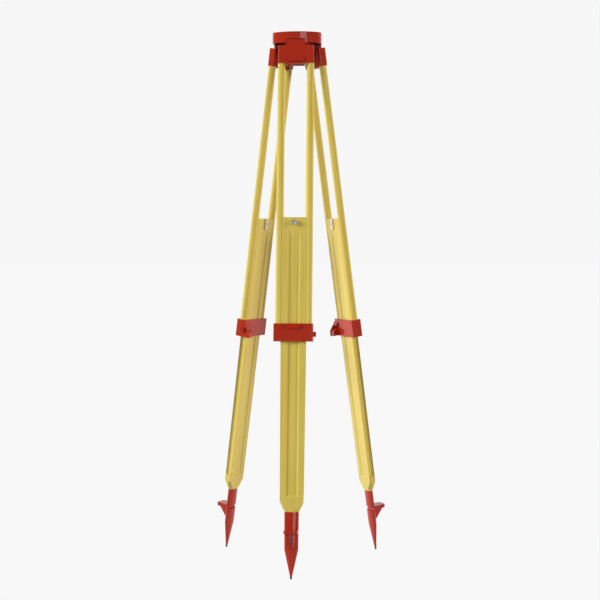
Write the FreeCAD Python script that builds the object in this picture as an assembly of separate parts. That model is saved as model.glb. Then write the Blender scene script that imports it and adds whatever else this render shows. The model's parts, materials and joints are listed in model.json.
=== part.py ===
import FreeCAD, Part

import math
import os

from FreeCAD import Placement, Rotation, Vector

# Surveying tripod with a cast head, three extending wooden legs and a central fixing screw.
# Millimetres, +Z up. Origin: centre of the head's flat top face. The front leg points to -Y.
#
# Every leg is drawn upright in its own leg frame and then put in place by leg_placement:
#   origin on the hinge pin's axis, X along the pin, Y towards the tripod's centre, Z up the leg.

# ---- head casting ----
HEAD_APOTHEM = 66.8            # centre to the middle of a long side
HEAD_SIDE_RADIUS = 110.0       # bulge of a long side
HEAD_CORNER_RADIUS = 20.0
PLATE_THICKNESS = 18.6
HEAD_BORE_RADIUS = 31.0
SKIRT_DEPTH = 32.0             # top face to the skirt's lower edge
SKIRT_WALL = 9.0
RIM_ROUND = 1.2
BORE_CHAMFER = 1.0
PIVOT_BOSS_RADIUS = 9.0

# ---- leg hinge ----
LEG_TILT = 8.0                 # degrees from upright, as it stands
HINGE_RADIUS = 54.0            # head centre to the pin
HINGE_DROP = 37.0              # top face to the pin
PIN_RADIUS = 4.0
EAR_RADIUS = 8.0
EAR_THICKNESS = 4.8
TONGUE_HALF_WIDTH = 26.0
TONGUE_TOP_RADIUS = 18.0
NOTCH_ROOF_RADIUS = 20.0       # round the pin, over the tongue
BUSH_WALL = 1.5
BUSH_LENGTH = 12.0
BOLT_HEAD_RADIUS = 5.0
BOLT_HEAD_HEIGHT = 2.8
NUT_FLATS = 13.0
NUT_HEIGHT = 4.0
BOLT_TAIL = 0.4

# ---- hinge casting ----
HINGE_CASTING_HALF_WIDTH = 52.5
HINGE_CASTING_THICKNESS = 24.0
HINGE_CASTING_TOP = 5.5        # pin to the shoulders
HINGE_CASTING_BOTTOM = 58.0    # pin to the rails' shoulders
HINGE_LIP_BOTTOM = 61.5
HINGE_LIP_HALF_WIDTH = 29.0
HINGE_CORNER_ROUND = 5.0
HINGE_POCKET_HALF_WIDTH = 24.0
HINGE_POCKET_TOP = 22.0
HINGE_POCKET_WALL = 4.0
PAD_HALF_WIDTH = 22.5
PAD_TOP = 40.0
PAD_HEIGHT = 13.0
PAD_THICKNESS = 3.0

# ---- rails ----
RAIL_RADIUS = 11.0
RAIL_SPACING = 85.0            # between the two rails' axes
SPIGOT_RADIUS = 7.5
SPIGOT_LENGTH = 24.0
LOCK_PIN_RADIUS = 2.0
LOCK_PIN_REACH = 6.0           # past the rail's axis

# ---- lower board ----
BOARD_THICKNESS = 19.7
BOARD_HALF_WIDTH = 36.4        # over the lips of the grooved edges
BOARD_TOP = 514.0              # pin to the board's top end, as it stands
BOARD_LENGTH = 846.5
BOARD_TAPER_START = 371.0      # from the board's top end
BOARD_TAPER = 2.9              # each edge, from the start of the taper to the foot
BOARD_FOOT_CHAMFER = 25.0
FOOT_CARVE_DEPTH = 24.0        # how far the carved foot opens away from the faces
PANEL_HALF_WIDTH = 17.0
PANEL_DEPTH = 2.5
PANEL_SLOPE = 3.0              # width of the recess's sloping edges
PANEL_RUNOUT = 24.0            # length of the recess's sloping upper end
PANEL_TOP_MARGIN = 33.0
PANEL_FOOT_MARGIN = 43.5
TENON_HALF_WIDTH = 14.0
TENON_THICKNESS = 10.4
TENON_LENGTH = 32.0
RIVET_RADIUS = 2.5

# ---- stop at the board's top ----
STOP_WIDTH = 12.0
STOP_HEIGHT = 32.0
STOP_THICKNESS = 5.5
STOP_BOLT_DEPTH = 15.0         # board's top end to the bolt
STOP_BOLT_RADIUS = 3.0
STOP_HEAD_RADIUS = 7.6
STOP_HEAD_HEIGHT = 8.0
STOP_HEAD_ROUND = 1.5
STOP_BOLT_TAIL = 1.5

# ---- clamp casting ----
CLAMP_TOP = 823.0              # pin to the clamp's top face
CLAMP_HEIGHT = 51.5
CLAMP_HALF_WIDTH = 57.2
CLAMP_THICKNESS = 31.6
CLAMP_CORNER_ROUND = 3.5
RAIL_SOCKET_DEPTH = 14.0
LIP_HALF_WIDTH = 24.5          # half-moon thumb lip on the outer face
LIP_HEIGHT = 15.0
LIP_THICKNESS = 6.5            # at its lower edge
LIP_TOP_THICKNESS = 1.2
CLAMP_SCREW_DROP = 29.5        # clamp's top face to the screw
CLAMP_SCREW_INSET = 10.0       # rails' plane to the screw, towards the centre
CLAMP_SCREW_RADIUS = 3.5
KNOB_RADIUS = 7.5
KNOB_HEIGHT = 7.4
KNOB_SOCKET_RADIUS = 3.4
KNOB_SOCKET_DEPTH = 4.0
CLAMP_SIDE_WALL = 4.2
FIN_TOP_MARGIN = 7.5
FIN_REACH = 20.2               # past the clamp's inner face
FIN_NOSE_HEIGHT = 16.0

# ---- clamp lever and jaw ----
LEVER_HUB_RADIUS = 8.0
LEVER_HUB_LENGTH = 8.2
LEVER_WIDTH = 17.5
LEVER_SHOULDER_REACH = 12.0    # screw's axis to the highest point of the wing's back
LEVER_SHOULDER_RISE = 2.0
LEVER_SETBACK = 1.5            # lever's nose behind the fin's nose
LEVER_ROOM = 10.5              # screw to the roof over the lever's root
JAW_THICKNESS = 5.0
JAW_HEIGHT = 16.5
JAW_INNER = 13.6               # rails' plane to the jaw's edge, towards the centre
JAW_OUTER = 8.0                # rails' plane to the jaw's edge, away from the centre
JAW_STANDOFF = 0.2             # jaw to board, lever closed
JAW_RELIEF = 0.5               # room behind the jaw

# ---- shoe, pedal and point ----
SHOE_HALF_WIDTH = 20.85
SHOE_HALF_THICKNESS = 9.3
SHOE_LENGTH = 180.5
SHOE_SHANK_LENGTH = 106.0
SHOE_SHANK_TAPER = 1.0
SHOE_END_HALF_WIDTH = 3.4
SHOE_END_HALF_THICKNESS = 3.2
PEDAL_DEPTH = 50.5             # shoe's top to the pedal's tread
PEDAL_REACH = 44.0             # shoe's axis to the pedal's tip
PEDAL_TIP_THICKNESS = 8.5
PEDAL_ROOT_THICKNESS = 12.0
PEDAL_CORNER_RADIUS = 12.0
PEDAL_EDGE_ROUND = 2.0
WEB_THICKNESS = 12.0
WEB_FOOT = 46.0                # tread to the web's foot
SHOE_NOTCH_RADIUS = 6.5
SHOE_NOTCH_DEPTH = 10.8
SHOE_NOTCH_DROP = 6.0          # tread to the notch's centre
POINT_RADIUS = 2.9
POINT_LENGTH = 10.0
POINT_TIP_RADIUS = 1.0
POINT_TIP_LENGTH = 3.0
POINT_SHANK_RADIUS = 2.0
POINT_SHANK_LENGTH = 30.0

# ---- fixing screw under the head ----
ARM_PIVOT_RADIUS = 52.0        # head centre to the arm's pivot
ARM_THICKNESS = 5.0
ARM_GAP = 2.4                  # plate to arm
ARM_HALF_WIDTH = 16.0
ARM_END = 30.0                 # past the head's centre
ARM_PIVOT_HALF_WIDTH = 10.0
SLOT_TRAVEL = 14.0             # each way from the centre
PIVOT_SCREW_RADIUS = 4.0
PIVOT_SCREW_DEPTH = 9.0        # thread in the plate
PIVOT_HEAD_RADIUS = 7.5
PIVOT_HEAD_HEIGHT = 3.5
FIXING_SCREW_RADIUS = 7.94     # five-eighths inch
FIXING_SCREW_TIP_DROP = 2.0    # below the head's top face
FIXING_SCREW_CHAMFER = 1.5
BUSHING_RADIUS = 10.5
BUSHING_FLANGE_RADIUS = 15.0
BUSHING_FLANGE_HEIGHT = 1.8
BUSHING_TAIL = 3.0
KEEPER_RADIUS = 14.5
KEEPER_HEIGHT = 1.6
RING_RADIUS = 10.0
RING_HEIGHT = 1.5
RING_GROOVE_RADIUS = 6.9
GRIP_TOP = 46.0                # below the head's top face
GRIP_HEIGHT = 34.0
GRIP_RADIUS = 17.0
GRIP_FLUTES = 6
GRIP_FLUTE_RADIUS = 5.0
GRIP_FLUTE_DEPTH = 2.6
GRIP_HOLLOW_RADIUS = 9.5
GRIP_HOLLOW_DEPTH = 12.0
HOOK_WIRE_RADIUS = 1.4
HOOK_BEND_RADIUS = 3.0
HOOK_STEM = 6.0

# ---- clearances ----
SEAT_CLEARANCE = 0.3           # moving pieces side by side
SLIDE_CLEARANCE = 0.3          # board grooves on the rails
WINDOW_CLEARANCE = 0.55        # board in the clamp's window
RUNNING_CLEARANCE = 0.05       # shaft in a bore, on the radius
TONGUE_CLEARANCE = 0.4
OVERCUT = 1.0                  # how far a cutting tool runs past a face

# ---- derived sizes ----
HALF_SPACING = RAIL_SPACING / 2
NOTCH_HALF_WIDTH = TONGUE_HALF_WIDTH + TONGUE_CLEARANCE
EAR_END = NOTCH_HALF_WIDTH + EAR_THICKNESS
BOLT_END = EAR_END + NUT_HEIGHT + BOLT_TAIL
BUSH_RADIUS = PIN_RADIUS + RUNNING_CLEARANCE + BUSH_WALL
NOTCH_ROOF = HINGE_DROP - PLATE_THICKNESS
HINGE_CASTING_HALF_THICKNESS = HINGE_CASTING_THICKNESS / 2
GROOVE_RADIUS = RAIL_RADIUS + SLIDE_CLEARANCE
BOARD_HALF_THICKNESS = BOARD_THICKNESS / 2
BOARD_BOTTOM = BOARD_TOP + BOARD_LENGTH
CLAMP_BOTTOM = CLAMP_TOP + CLAMP_HEIGHT
CLAMP_HALF_THICKNESS = CLAMP_THICKNESS / 2
RAIL_END = CLAMP_TOP + RAIL_SOCKET_DEPTH
WINDOW_HALF_WIDTH = BOARD_HALF_WIDTH + WINDOW_CLEARANCE
WINDOW_HALF_THICKNESS = BOARD_HALF_THICKNESS + WINDOW_CLEARANCE
SCREW_DEPTH = CLAMP_TOP + CLAMP_SCREW_DROP
SIDE_WALL_INNER = CLAMP_HALF_WIDTH - CLAMP_SIDE_WALL
HUB_OUTER = SIDE_WALL_INNER - SEAT_CLEARANCE
HUB_INNER = HUB_OUTER - LEVER_HUB_LENGTH
JAW_FACE = BOARD_HALF_WIDTH + JAW_STANDOFF
JAW_BACK = JAW_FACE + JAW_THICKNESS
JAW_POCKET_END = JAW_BACK + JAW_RELIEF
PLATE_UNDERSIDE = -PLATE_THICKNESS
ARM_TOP = PLATE_UNDERSIDE - ARM_GAP
ARM_BOTTOM = ARM_TOP - ARM_THICKNESS
GRIP_BOTTOM = -GRIP_TOP - GRIP_HEIGHT

LEG_TURNS = {"front": 0.0, "right": 120.0, "left": -120.0}
HALF_TURN_BETWEEN_LEGS = 60.0


# ---- general helpers ----

def box(x0, x1, y0, y1, z0, z1):
    """A box between two corners."""
    return Part.makeBox(x1 - x0, y1 - y0, z1 - z0, Vector(x0, y0, z0))


def rod_x(radius, x0, x1, y=0.0, z=0.0):
    """A cylinder along X."""
    return Part.makeCylinder(radius, x1 - x0, Vector(x0, y, z), Vector(1, 0, 0))


def rod_y(radius, y0, y1, x=0.0, z=0.0):
    """A cylinder along Y."""
    return Part.makeCylinder(radius, y1 - y0, Vector(x, y0, z), Vector(0, 1, 0))


def rod_z(radius, z0, z1, x=0.0, y=0.0):
    """A cylinder along Z."""
    return Part.makeCylinder(radius, z1 - z0, Vector(x, y, z0))


def rounded_box(half_x, half_y, z0, z1, radius):
    """A box centred on the Z axis with its four upright edges rounded."""
    solid = box(-half_x, half_x, -half_y, half_y, z0, z1)
    upright = [edge for edge in solid.Edges if abs(edge.tangentAt(edge.FirstParameter).z) > 0.9]
    return solid.makeFillet(radius, upright)


def prism_x(points, x0, x1):
    """A straight-sided outline of (y, z) points, drawn out along X."""
    corners = [Vector(x0, y, z) for y, z in points]
    face = Part.Face(Part.makePolygon(corners + corners[:1]))
    return face.extrude(Vector(x1 - x0, 0, 0))


def hexagon_x(flats, x0, x1):
    """A hexagonal nut blank along X."""
    radius = flats / math.sqrt(3)
    angles = [math.radians(60 * step) for step in range(6)]
    return prism_x([(radius * math.cos(a), radius * math.sin(a)) for a in angles], x0, x1)


def ellipse_wire(half_x, half_y, z):
    """A level ellipse, wider along X."""
    curve = Part.Ellipse(Vector(0, 0, z), half_x, half_y)
    return Part.Wire(curve.toShape())


def leg_placement(leg):
    """Where a leg drawn in its leg frame stands in the tripod."""
    tilt = Placement(Vector(0, 0, 0), Rotation(Vector(1, 0, 0), -LEG_TILT))
    to_hinge = Placement(Vector(0, -HINGE_RADIUS, -HINGE_DROP), Rotation())
    turn = Placement(Vector(0, 0, 0), Rotation(Vector(0, 0, 1), LEG_TURNS[leg]))
    return turn.multiply(to_hinge).multiply(tilt)


def head_placement(leg):
    """Where a piece fixed to the head at one hinge, drawn about the pin's axis, belongs."""
    to_hinge = Placement(Vector(0, -HINGE_RADIUS, -HINGE_DROP), Rotation())
    turn = Placement(Vector(0, 0, 0), Rotation(Vector(0, 0, 1), LEG_TURNS[leg]))
    return turn.multiply(to_hinge)


def placed(shape, placement):
    """A copy of a shape at a placement."""
    copy = shape.copy()
    copy.Placement = placement.multiply(copy.Placement)
    return copy


def save(name, shape):
    """Write one node."""
    shape.exportStep("parts/" + name + ".step")


# ---- head ----

def head_outline(inset):
    """The head's plan: three bulged sides that face the legs, joined by rounded corners."""
    side_centre_back = HEAD_SIDE_RADIUS - HEAD_APOTHEM
    reach = HEAD_SIDE_RADIUS - HEAD_CORNER_RADIUS
    corner_distance = (math.sqrt(4 * reach ** 2 - 3 * side_centre_back ** 2) - side_centre_back) / 2
    side_radius = HEAD_SIDE_RADIUS - inset
    corner_radius = HEAD_CORNER_RADIUS - inset
    edges = []
    for turn in LEG_TURNS.values():
        facing = math.radians(turn - 90)
        outward = Vector(math.cos(facing), math.sin(facing), 0)
        side_centre = outward * -side_centre_back
        middle = side_centre + outward * side_radius
        ends = []
        for offset in (-HALF_TURN_BETWEEN_LEGS, HALF_TURN_BETWEEN_LEGS):
            angle = facing + math.radians(offset)
            corner = Vector(math.cos(angle), math.sin(angle), 0) * corner_distance
            along = (corner - side_centre).normalize()
            ends.append(side_centre + along * side_radius)
        edges.append(Part.Arc(ends[0], middle, ends[1]).toShape())
        angle = facing + math.radians(HALF_TURN_BETWEEN_LEGS)
        diagonal = Vector(math.cos(angle), math.sin(angle), 0)
        corner = diagonal * corner_distance
        start = ends[1]
        across = start - corner
        finish = corner + diagonal * (2 * across.dot(diagonal)) - across
        edges.append(Part.Arc(start, corner + diagonal * corner_radius, finish).toShape())
    return Part.Wire(Part.__sortEdges__(edges))


def head_block(inset, z0, z1):
    """A solid of the head's plan between two heights."""
    face = Part.Face(head_outline(inset))
    face.translate(Vector(0, 0, z0))
    return face.extrude(Vector(0, 0, z1 - z0))


def hinge_ears():
    """The two ears that carry one hinge pin, drawn about the pin's axis."""
    ears = []
    for x0, x1 in ((NOTCH_HALF_WIDTH, EAR_END), (-EAR_END, -NOTCH_HALF_WIDTH)):
        ear = rod_x(EAR_RADIUS, x0, x1)
        ears.append(ear.fuse(box(x0, x1, -EAR_RADIUS, EAR_RADIUS, 0, NOTCH_ROOF)))
    return ears


def hinge_notch():
    """The gap in the skirt that one leg's tongue works in, with its roof rounded about the pin."""
    slot = box(-NOTCH_HALF_WIDTH, NOTCH_HALF_WIDTH, -HINGE_RADIUS, HINGE_RADIUS / 2, -HINGE_DROP, 0)
    sweep = rod_x(NOTCH_ROOF_RADIUS, -NOTCH_HALF_WIDTH, NOTCH_HALF_WIDTH)
    room = box(-NOTCH_HALF_WIDTH, NOTCH_HALF_WIDTH, -HINGE_RADIUS, HINGE_RADIUS, -HINGE_DROP, NOTCH_ROOF)
    return slot.fuse(sweep.common(room))


def bolt_reliefs():
    """The room for a hinge pin's head and nut in the skirt's lower edge, drawn about the pin's axis."""
    radius = NUT_FLATS / math.sqrt(3) + SEAT_CLEARANCE
    end = BOLT_END + SEAT_CLEARANCE
    return [rod_x(radius, EAR_END, end), rod_x(radius, -end, -EAR_END)]


def head_casting():
    """Plate and skirt in one casting, with the hinge ears and the arm's pivot boss."""
    plate = head_block(0, PLATE_UNDERSIDE, 0)
    rim = [edge for edge in plate.Edges if edge.BoundBox.ZMin > -0.01]
    plate = plate.makeFillet(RIM_ROUND, rim)
    skirt = head_block(0, -SKIRT_DEPTH, PLATE_UNDERSIDE)
    skirt = skirt.cut(head_block(SKIRT_WALL, -SKIRT_DEPTH - OVERCUT, PLATE_UNDERSIDE))
    for leg in LEG_TURNS:
        skirt = skirt.cut(placed(hinge_notch(), head_placement(leg)))
        for relief in bolt_reliefs():
            skirt = skirt.cut(placed(relief, head_placement(leg)))
    boss = rod_z(PIVOT_BOSS_RADIUS, ARM_TOP, PLATE_UNDERSIDE, 0, ARM_PIVOT_RADIUS)
    pieces = [skirt, boss]
    for leg in LEG_TURNS:
        pieces += [placed(ear, head_placement(leg)) for ear in hinge_ears()]
    head = plate.multiFuse(pieces)
    head = head.cut(rod_z(HEAD_BORE_RADIUS, PLATE_UNDERSIDE - OVERCUT, OVERCUT))
    mouth = Part.makeCone(HEAD_BORE_RADIUS, HEAD_BORE_RADIUS + BORE_CHAMFER + OVERCUT,
                          BORE_CHAMFER + OVERCUT, Vector(0, 0, -BORE_CHAMFER))
    head = head.cut(mouth)
    thread = rod_z(PIVOT_SCREW_RADIUS, ARM_TOP - OVERCUT, PLATE_UNDERSIDE + PIVOT_SCREW_DEPTH,
                   0, ARM_PIVOT_RADIUS)
    head = head.cut(thread)
    for leg in LEG_TURNS:
        pin_hole = rod_x(PIN_RADIUS, -EAR_END - OVERCUT, EAR_END + OVERCUT)
        head = head.cut(placed(pin_hole, head_placement(leg)))
    return head.removeSplitter()


def hinge_bolt():
    """The hinge pin: a bolt through both ears."""
    shank = rod_x(PIN_RADIUS, -EAR_END, BOLT_END)
    head = rod_x(BOLT_HEAD_RADIUS, -EAR_END - BOLT_HEAD_HEIGHT, -EAR_END)
    outer_rim = [edge for edge in head.Edges if edge.BoundBox.XMax < -EAR_END - 0.01]
    head = head.makeFillet(BOLT_HEAD_HEIGHT / 3, outer_rim[:1])
    return head.fuse(shank).removeSplitter()


def hinge_nut():
    """The nut that holds the hinge pin."""
    blank = hexagon_x(NUT_FLATS, EAR_END, EAR_END + NUT_HEIGHT)
    return blank.cut(rod_x(PIN_RADIUS, EAR_END - OVERCUT, EAR_END + NUT_HEIGHT + OVERCUT))


# ---- leg: hinge end ----

def hinge_tongue():
    """The tongue that turns on the pin, with its top rounded about the pin."""
    half = HINGE_CASTING_HALF_THICKNESS
    slab = box(-TONGUE_HALF_WIDTH, TONGUE_HALF_WIDTH, -half, half,
               -HINGE_CASTING_TOP - OVERCUT, TONGUE_TOP_RADIUS + OVERCUT)
    return slab.common(rod_x(TONGUE_TOP_RADIUS, -TONGUE_HALF_WIDTH, TONGUE_HALF_WIDTH))


def hinge_casting():
    """The casting at a leg's top: tongue, shoulders and two spigot sockets."""
    half = HINGE_CASTING_HALF_THICKNESS
    body = rounded_box(HINGE_CASTING_HALF_WIDTH, half, -HINGE_CASTING_BOTTOM, -HINGE_CASTING_TOP,
                       HINGE_CORNER_ROUND)
    lip = box(-HINGE_LIP_HALF_WIDTH, HINGE_LIP_HALF_WIDTH, -half, half,
              -HINGE_LIP_BOTTOM, -HINGE_CASTING_BOTTOM)
    pad = box(-PAD_HALF_WIDTH, PAD_HALF_WIDTH, -half - PAD_THICKNESS, -half,
              -PAD_TOP - PAD_HEIGHT, -PAD_TOP)
    casting = body.multiFuse([lip, pad, hinge_tongue()])
    relief = EAR_RADIUS + SEAT_CLEARANCE
    relief_end = BOLT_END + SEAT_CLEARANCE
    casting = casting.cut(rod_x(relief, TONGUE_HALF_WIDTH, relief_end))
    casting = casting.cut(rod_x(relief, -relief_end, -TONGUE_HALF_WIDTH))
    casting = casting.cut(rod_x(BUSH_RADIUS, -TONGUE_HALF_WIDTH - OVERCUT, TONGUE_HALF_WIDTH + OVERCUT))
    pocket_half = half - HINGE_POCKET_WALL
    casting = casting.cut(box(-HINGE_POCKET_HALF_WIDTH, HINGE_POCKET_HALF_WIDTH, -pocket_half,
                              pocket_half, -HINGE_LIP_BOTTOM - OVERCUT, -HINGE_POCKET_TOP))
    for x in (-HALF_SPACING, HALF_SPACING):
        casting = casting.cut(rod_z(SPIGOT_RADIUS, -HINGE_CASTING_BOTTOM - OVERCUT,
                                    SPIGOT_LENGTH - HINGE_CASTING_BOTTOM, x))
    return casting.cut(lock_pin_set("hinge")).removeSplitter()


def hinge_bushes():
    """The two plain bushes pressed into the tongue's ends."""
    bore = PIN_RADIUS + RUNNING_CLEARANCE
    bushes = []
    for x0, x1 in ((TONGUE_HALF_WIDTH - BUSH_LENGTH, TONGUE_HALF_WIDTH),
                   (-TONGUE_HALF_WIDTH, BUSH_LENGTH - TONGUE_HALF_WIDTH)):
        bushes.append(rod_x(BUSH_RADIUS, x0, x1).cut(rod_x(bore, x0 - OVERCUT, x1 + OVERCUT)))
    return Part.makeCompound(bushes)


def lock_pins(end):
    """The pins that lock both rails into the casting at one end, from the inner face."""
    if end == "hinge":
        face = HINGE_CASTING_HALF_THICKNESS
        depth = HINGE_CASTING_BOTTOM - SPIGOT_LENGTH / 2
    else:
        face = CLAMP_HALF_THICKNESS
        depth = CLAMP_TOP + RAIL_SOCKET_DEPTH / 2
    return [rod_y(LOCK_PIN_RADIUS, -LOCK_PIN_REACH, face, x, -depth)
            for x in (-HALF_SPACING, HALF_SPACING)]


def lock_pin_set(end):
    """Both lock pins at one end as one shape."""
    return Part.makeCompound(lock_pins(end))


def rail(side):
    """One round rail, with a spigot for the hinge casting at its top."""
    x = side * HALF_SPACING
    bar = rod_z(RAIL_RADIUS, -RAIL_END, -HINGE_CASTING_BOTTOM, x)
    spigot = rod_z(SPIGOT_RADIUS, -HINGE_CASTING_BOTTOM, SPIGOT_LENGTH - HINGE_CASTING_BOTTOM, x)
    bar = bar.fuse(spigot)
    return bar.cut(lock_pin_set("hinge")).cut(lock_pin_set("clamp"))


# ---- leg: clamp ----

def clamp_fin():
    """The fixed fin beside the lever, as tall as the lever's wing."""
    inner = CLAMP_HALF_THICKNESS
    nose = inner + FIN_REACH
    nose_top = CLAMP_BOTTOM - FIN_NOSE_HEIGHT
    outline = [(inner - OVERCUT, -CLAMP_TOP - FIN_TOP_MARGIN), (inner, -CLAMP_TOP - FIN_TOP_MARGIN),
               (nose, -nose_top), (nose, -CLAMP_BOTTOM), (inner - OVERCUT, -CLAMP_BOTTOM)]
    return prism_x(outline, SIDE_WALL_INNER, CLAMP_HALF_WIDTH)


def lever_roof():
    """The gusset between the fin and the lever's back, over the lever's root."""
    inner = CLAMP_HALF_THICKNESS
    start = -CLAMP_TOP - FIN_TOP_MARGIN
    underside = LEVER_ROOM - SCREW_DEPTH
    slope = FIN_REACH / (CLAMP_HEIGHT - FIN_NOSE_HEIGHT - FIN_TOP_MARGIN)
    outline = [(inner - OVERCUT, start), (inner, start), (inner + slope * (start - underside), underside),
               (inner - OVERCUT, underside)]
    return prism_x(outline, HUB_OUTER - LEVER_WIDTH, SIDE_WALL_INNER)


def thumb_lip():
    """The half-moon lip on the clamp's outer face, thicker towards its lower edge."""
    outer = -CLAMP_HALF_THICKNESS
    radius = (LIP_HALF_WIDTH ** 2 + LIP_HEIGHT ** 2) / (2 * LIP_HEIGHT)
    disc = rod_y(radius, outer - LIP_THICKNESS, outer, 0, -CLAMP_TOP - LIP_HEIGHT + radius)
    low = -CLAMP_TOP - LIP_HEIGHT
    wedge = prism_x([(outer, -CLAMP_TOP), (outer, low), (outer - LIP_THICKNESS, low),
                     (outer - LIP_TOP_THICKNESS, -CLAMP_TOP)], -LIP_HALF_WIDTH, LIP_HALF_WIDTH)
    return disc.common(wedge)


def clamp_casting():
    """The casting that holds the rails' lower ends and lets the board slide through."""
    inner = CLAMP_HALF_THICKNESS
    body = rounded_box(CLAMP_HALF_WIDTH, inner, -CLAMP_BOTTOM, -CLAMP_TOP, CLAMP_CORNER_ROUND)
    casting = body.multiFuse([clamp_fin(), lever_roof(), thumb_lip()])
    casting = casting.cut(box(-WINDOW_HALF_WIDTH, WINDOW_HALF_WIDTH, -WINDOW_HALF_THICKNESS,
                              WINDOW_HALF_THICKNESS, -CLAMP_BOTTOM - OVERCUT, -CLAMP_TOP + OVERCUT))
    for x in (-HALF_SPACING, HALF_SPACING):
        casting = casting.cut(rod_z(RAIL_RADIUS, -RAIL_END, -CLAMP_TOP + OVERCUT, x))
    hub_room = LEVER_HUB_RADIUS + SEAT_CLEARANCE
    hub_start = HUB_INNER - SEAT_CLEARANCE
    casting = casting.cut(rod_x(hub_room, hub_start, SIDE_WALL_INNER, CLAMP_SCREW_INSET, -SCREW_DEPTH))
    casting = casting.cut(box(hub_start, SIDE_WALL_INNER, CLAMP_SCREW_INSET, inner + FIN_REACH,
                              -SCREW_DEPTH - hub_room, -SCREW_DEPTH + LEVER_ROOM))
    jaw_half = JAW_HEIGHT / 2 + SEAT_CLEARANCE
    casting = casting.cut(box(WINDOW_HALF_WIDTH - OVERCUT, JAW_POCKET_END, -JAW_OUTER - SEAT_CLEARANCE,
                              JAW_INNER + SEAT_CLEARANCE, -SCREW_DEPTH - jaw_half,
                              -SCREW_DEPTH + jaw_half))
    casting = casting.cut(rod_x(CLAMP_SCREW_RADIUS + RUNNING_CLEARANCE, JAW_BACK,
                                CLAMP_HALF_WIDTH + OVERCUT, CLAMP_SCREW_INSET, -SCREW_DEPTH))
    return casting.cut(lock_pin_set("clamp")).removeSplitter()


def clamp_screw():
    """The clamp screw, with a round socket head on the leg's side."""
    tip = JAW_POCKET_END - RUNNING_CLEARANCE
    face = CLAMP_HALF_WIDTH + RUNNING_CLEARANCE * 2
    shank = rod_x(CLAMP_SCREW_RADIUS, tip, face, CLAMP_SCREW_INSET, -SCREW_DEPTH)
    head = rod_x(KNOB_RADIUS, face, face + KNOB_HEIGHT, CLAMP_SCREW_INSET, -SCREW_DEPTH)
    rim = [edge for edge in head.Edges if edge.BoundBox.XMin > face + KNOB_HEIGHT - 0.01]
    head = head.makeFillet(RIM_ROUND, rim[:1])
    socket = hexagon_x(KNOB_SOCKET_RADIUS * math.sqrt(3), face + KNOB_HEIGHT - KNOB_SOCKET_DEPTH,
                       face + KNOB_HEIGHT + OVERCUT)
    socket.translate(Vector(0, CLAMP_SCREW_INSET, -SCREW_DEPTH))
    return head.fuse(shank).cut(socket).removeSplitter()


def clamp_lever():
    """The wing lever: a hub on the clamp screw and a wing along the clamp's inner face."""
    y = CLAMP_SCREW_INSET
    z = -SCREW_DEPTH
    face = CLAMP_HALF_THICKNESS + SEAT_CLEARANCE
    nose = CLAMP_HALF_THICKNESS + FIN_REACH - LEVER_SETBACK
    nose_top = -(CLAMP_BOTTOM - FIN_NOSE_HEIGHT)
    foot = -CLAMP_BOTTOM + LEVER_SETBACK
    to_nose = Vector(0, nose - y, nose_top - z)
    lean = math.atan2(to_nose.z, to_nose.y) + math.acos(LEVER_HUB_RADIUS / to_nose.Length)
    tangent = (y + LEVER_HUB_RADIUS * math.cos(lean), z + LEVER_HUB_RADIUS * math.sin(lean))
    hub = rod_x(LEVER_HUB_RADIUS, HUB_INNER, HUB_OUTER, y, z)
    root = prism_x([(y, z), tangent, (nose, nose_top), (nose, foot), (face, foot),
                    (face, z - LEVER_HUB_RADIUS / 2)], HUB_INNER, HUB_OUTER)
    wing = prism_x([(face, z - LEVER_SHOULDER_RISE), (y + LEVER_SHOULDER_REACH, z + LEVER_SHOULDER_RISE),
                    (nose, nose_top), (nose, foot), (face, foot)], HUB_OUTER - LEVER_WIDTH, HUB_INNER)
    lever = hub.multiFuse([root, wing])
    bore = rod_x(CLAMP_SCREW_RADIUS, HUB_INNER - OVERCUT, HUB_OUTER + OVERCUT, y, z)
    return lever.cut(bore).removeSplitter()


def clamp_jaw():
    """The pad that the clamp screw presses on the board's edge."""
    half = JAW_HEIGHT / 2
    return box(JAW_FACE, JAW_BACK, -JAW_OUTER, JAW_INNER, -SCREW_DEPTH - half, -SCREW_DEPTH + half)


# ---- leg: lower board ----

def board_section(narrowing, z):
    """The board's section at one height: flat faces and hollow edges that fit the rails."""
    half_t = BOARD_HALF_THICKNESS
    lip = BOARD_HALF_WIDTH - narrowing
    floor = HALF_SPACING - narrowing - GROOVE_RADIUS
    mouth = math.sqrt(GROOVE_RADIUS ** 2 - (HALF_SPACING - BOARD_HALF_WIDTH) ** 2)
    edges = []
    for side in (1, -1):
        start = Vector(side * lip, -side * mouth, z)
        finish = Vector(side * lip, side * mouth, z)
        corner = Vector(side * lip, side * half_t, z)
        edges.append(Part.LineSegment(Vector(side * lip, -side * half_t, z), start).toShape())
        edges.append(Part.Arc(start, Vector(side * floor, 0, z), finish).toShape())
        edges.append(Part.LineSegment(finish, corner).toShape())
        edges.append(Part.LineSegment(corner, Vector(-side * lip, side * half_t, z)).toShape())
    return Part.Wire(edges)


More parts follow.
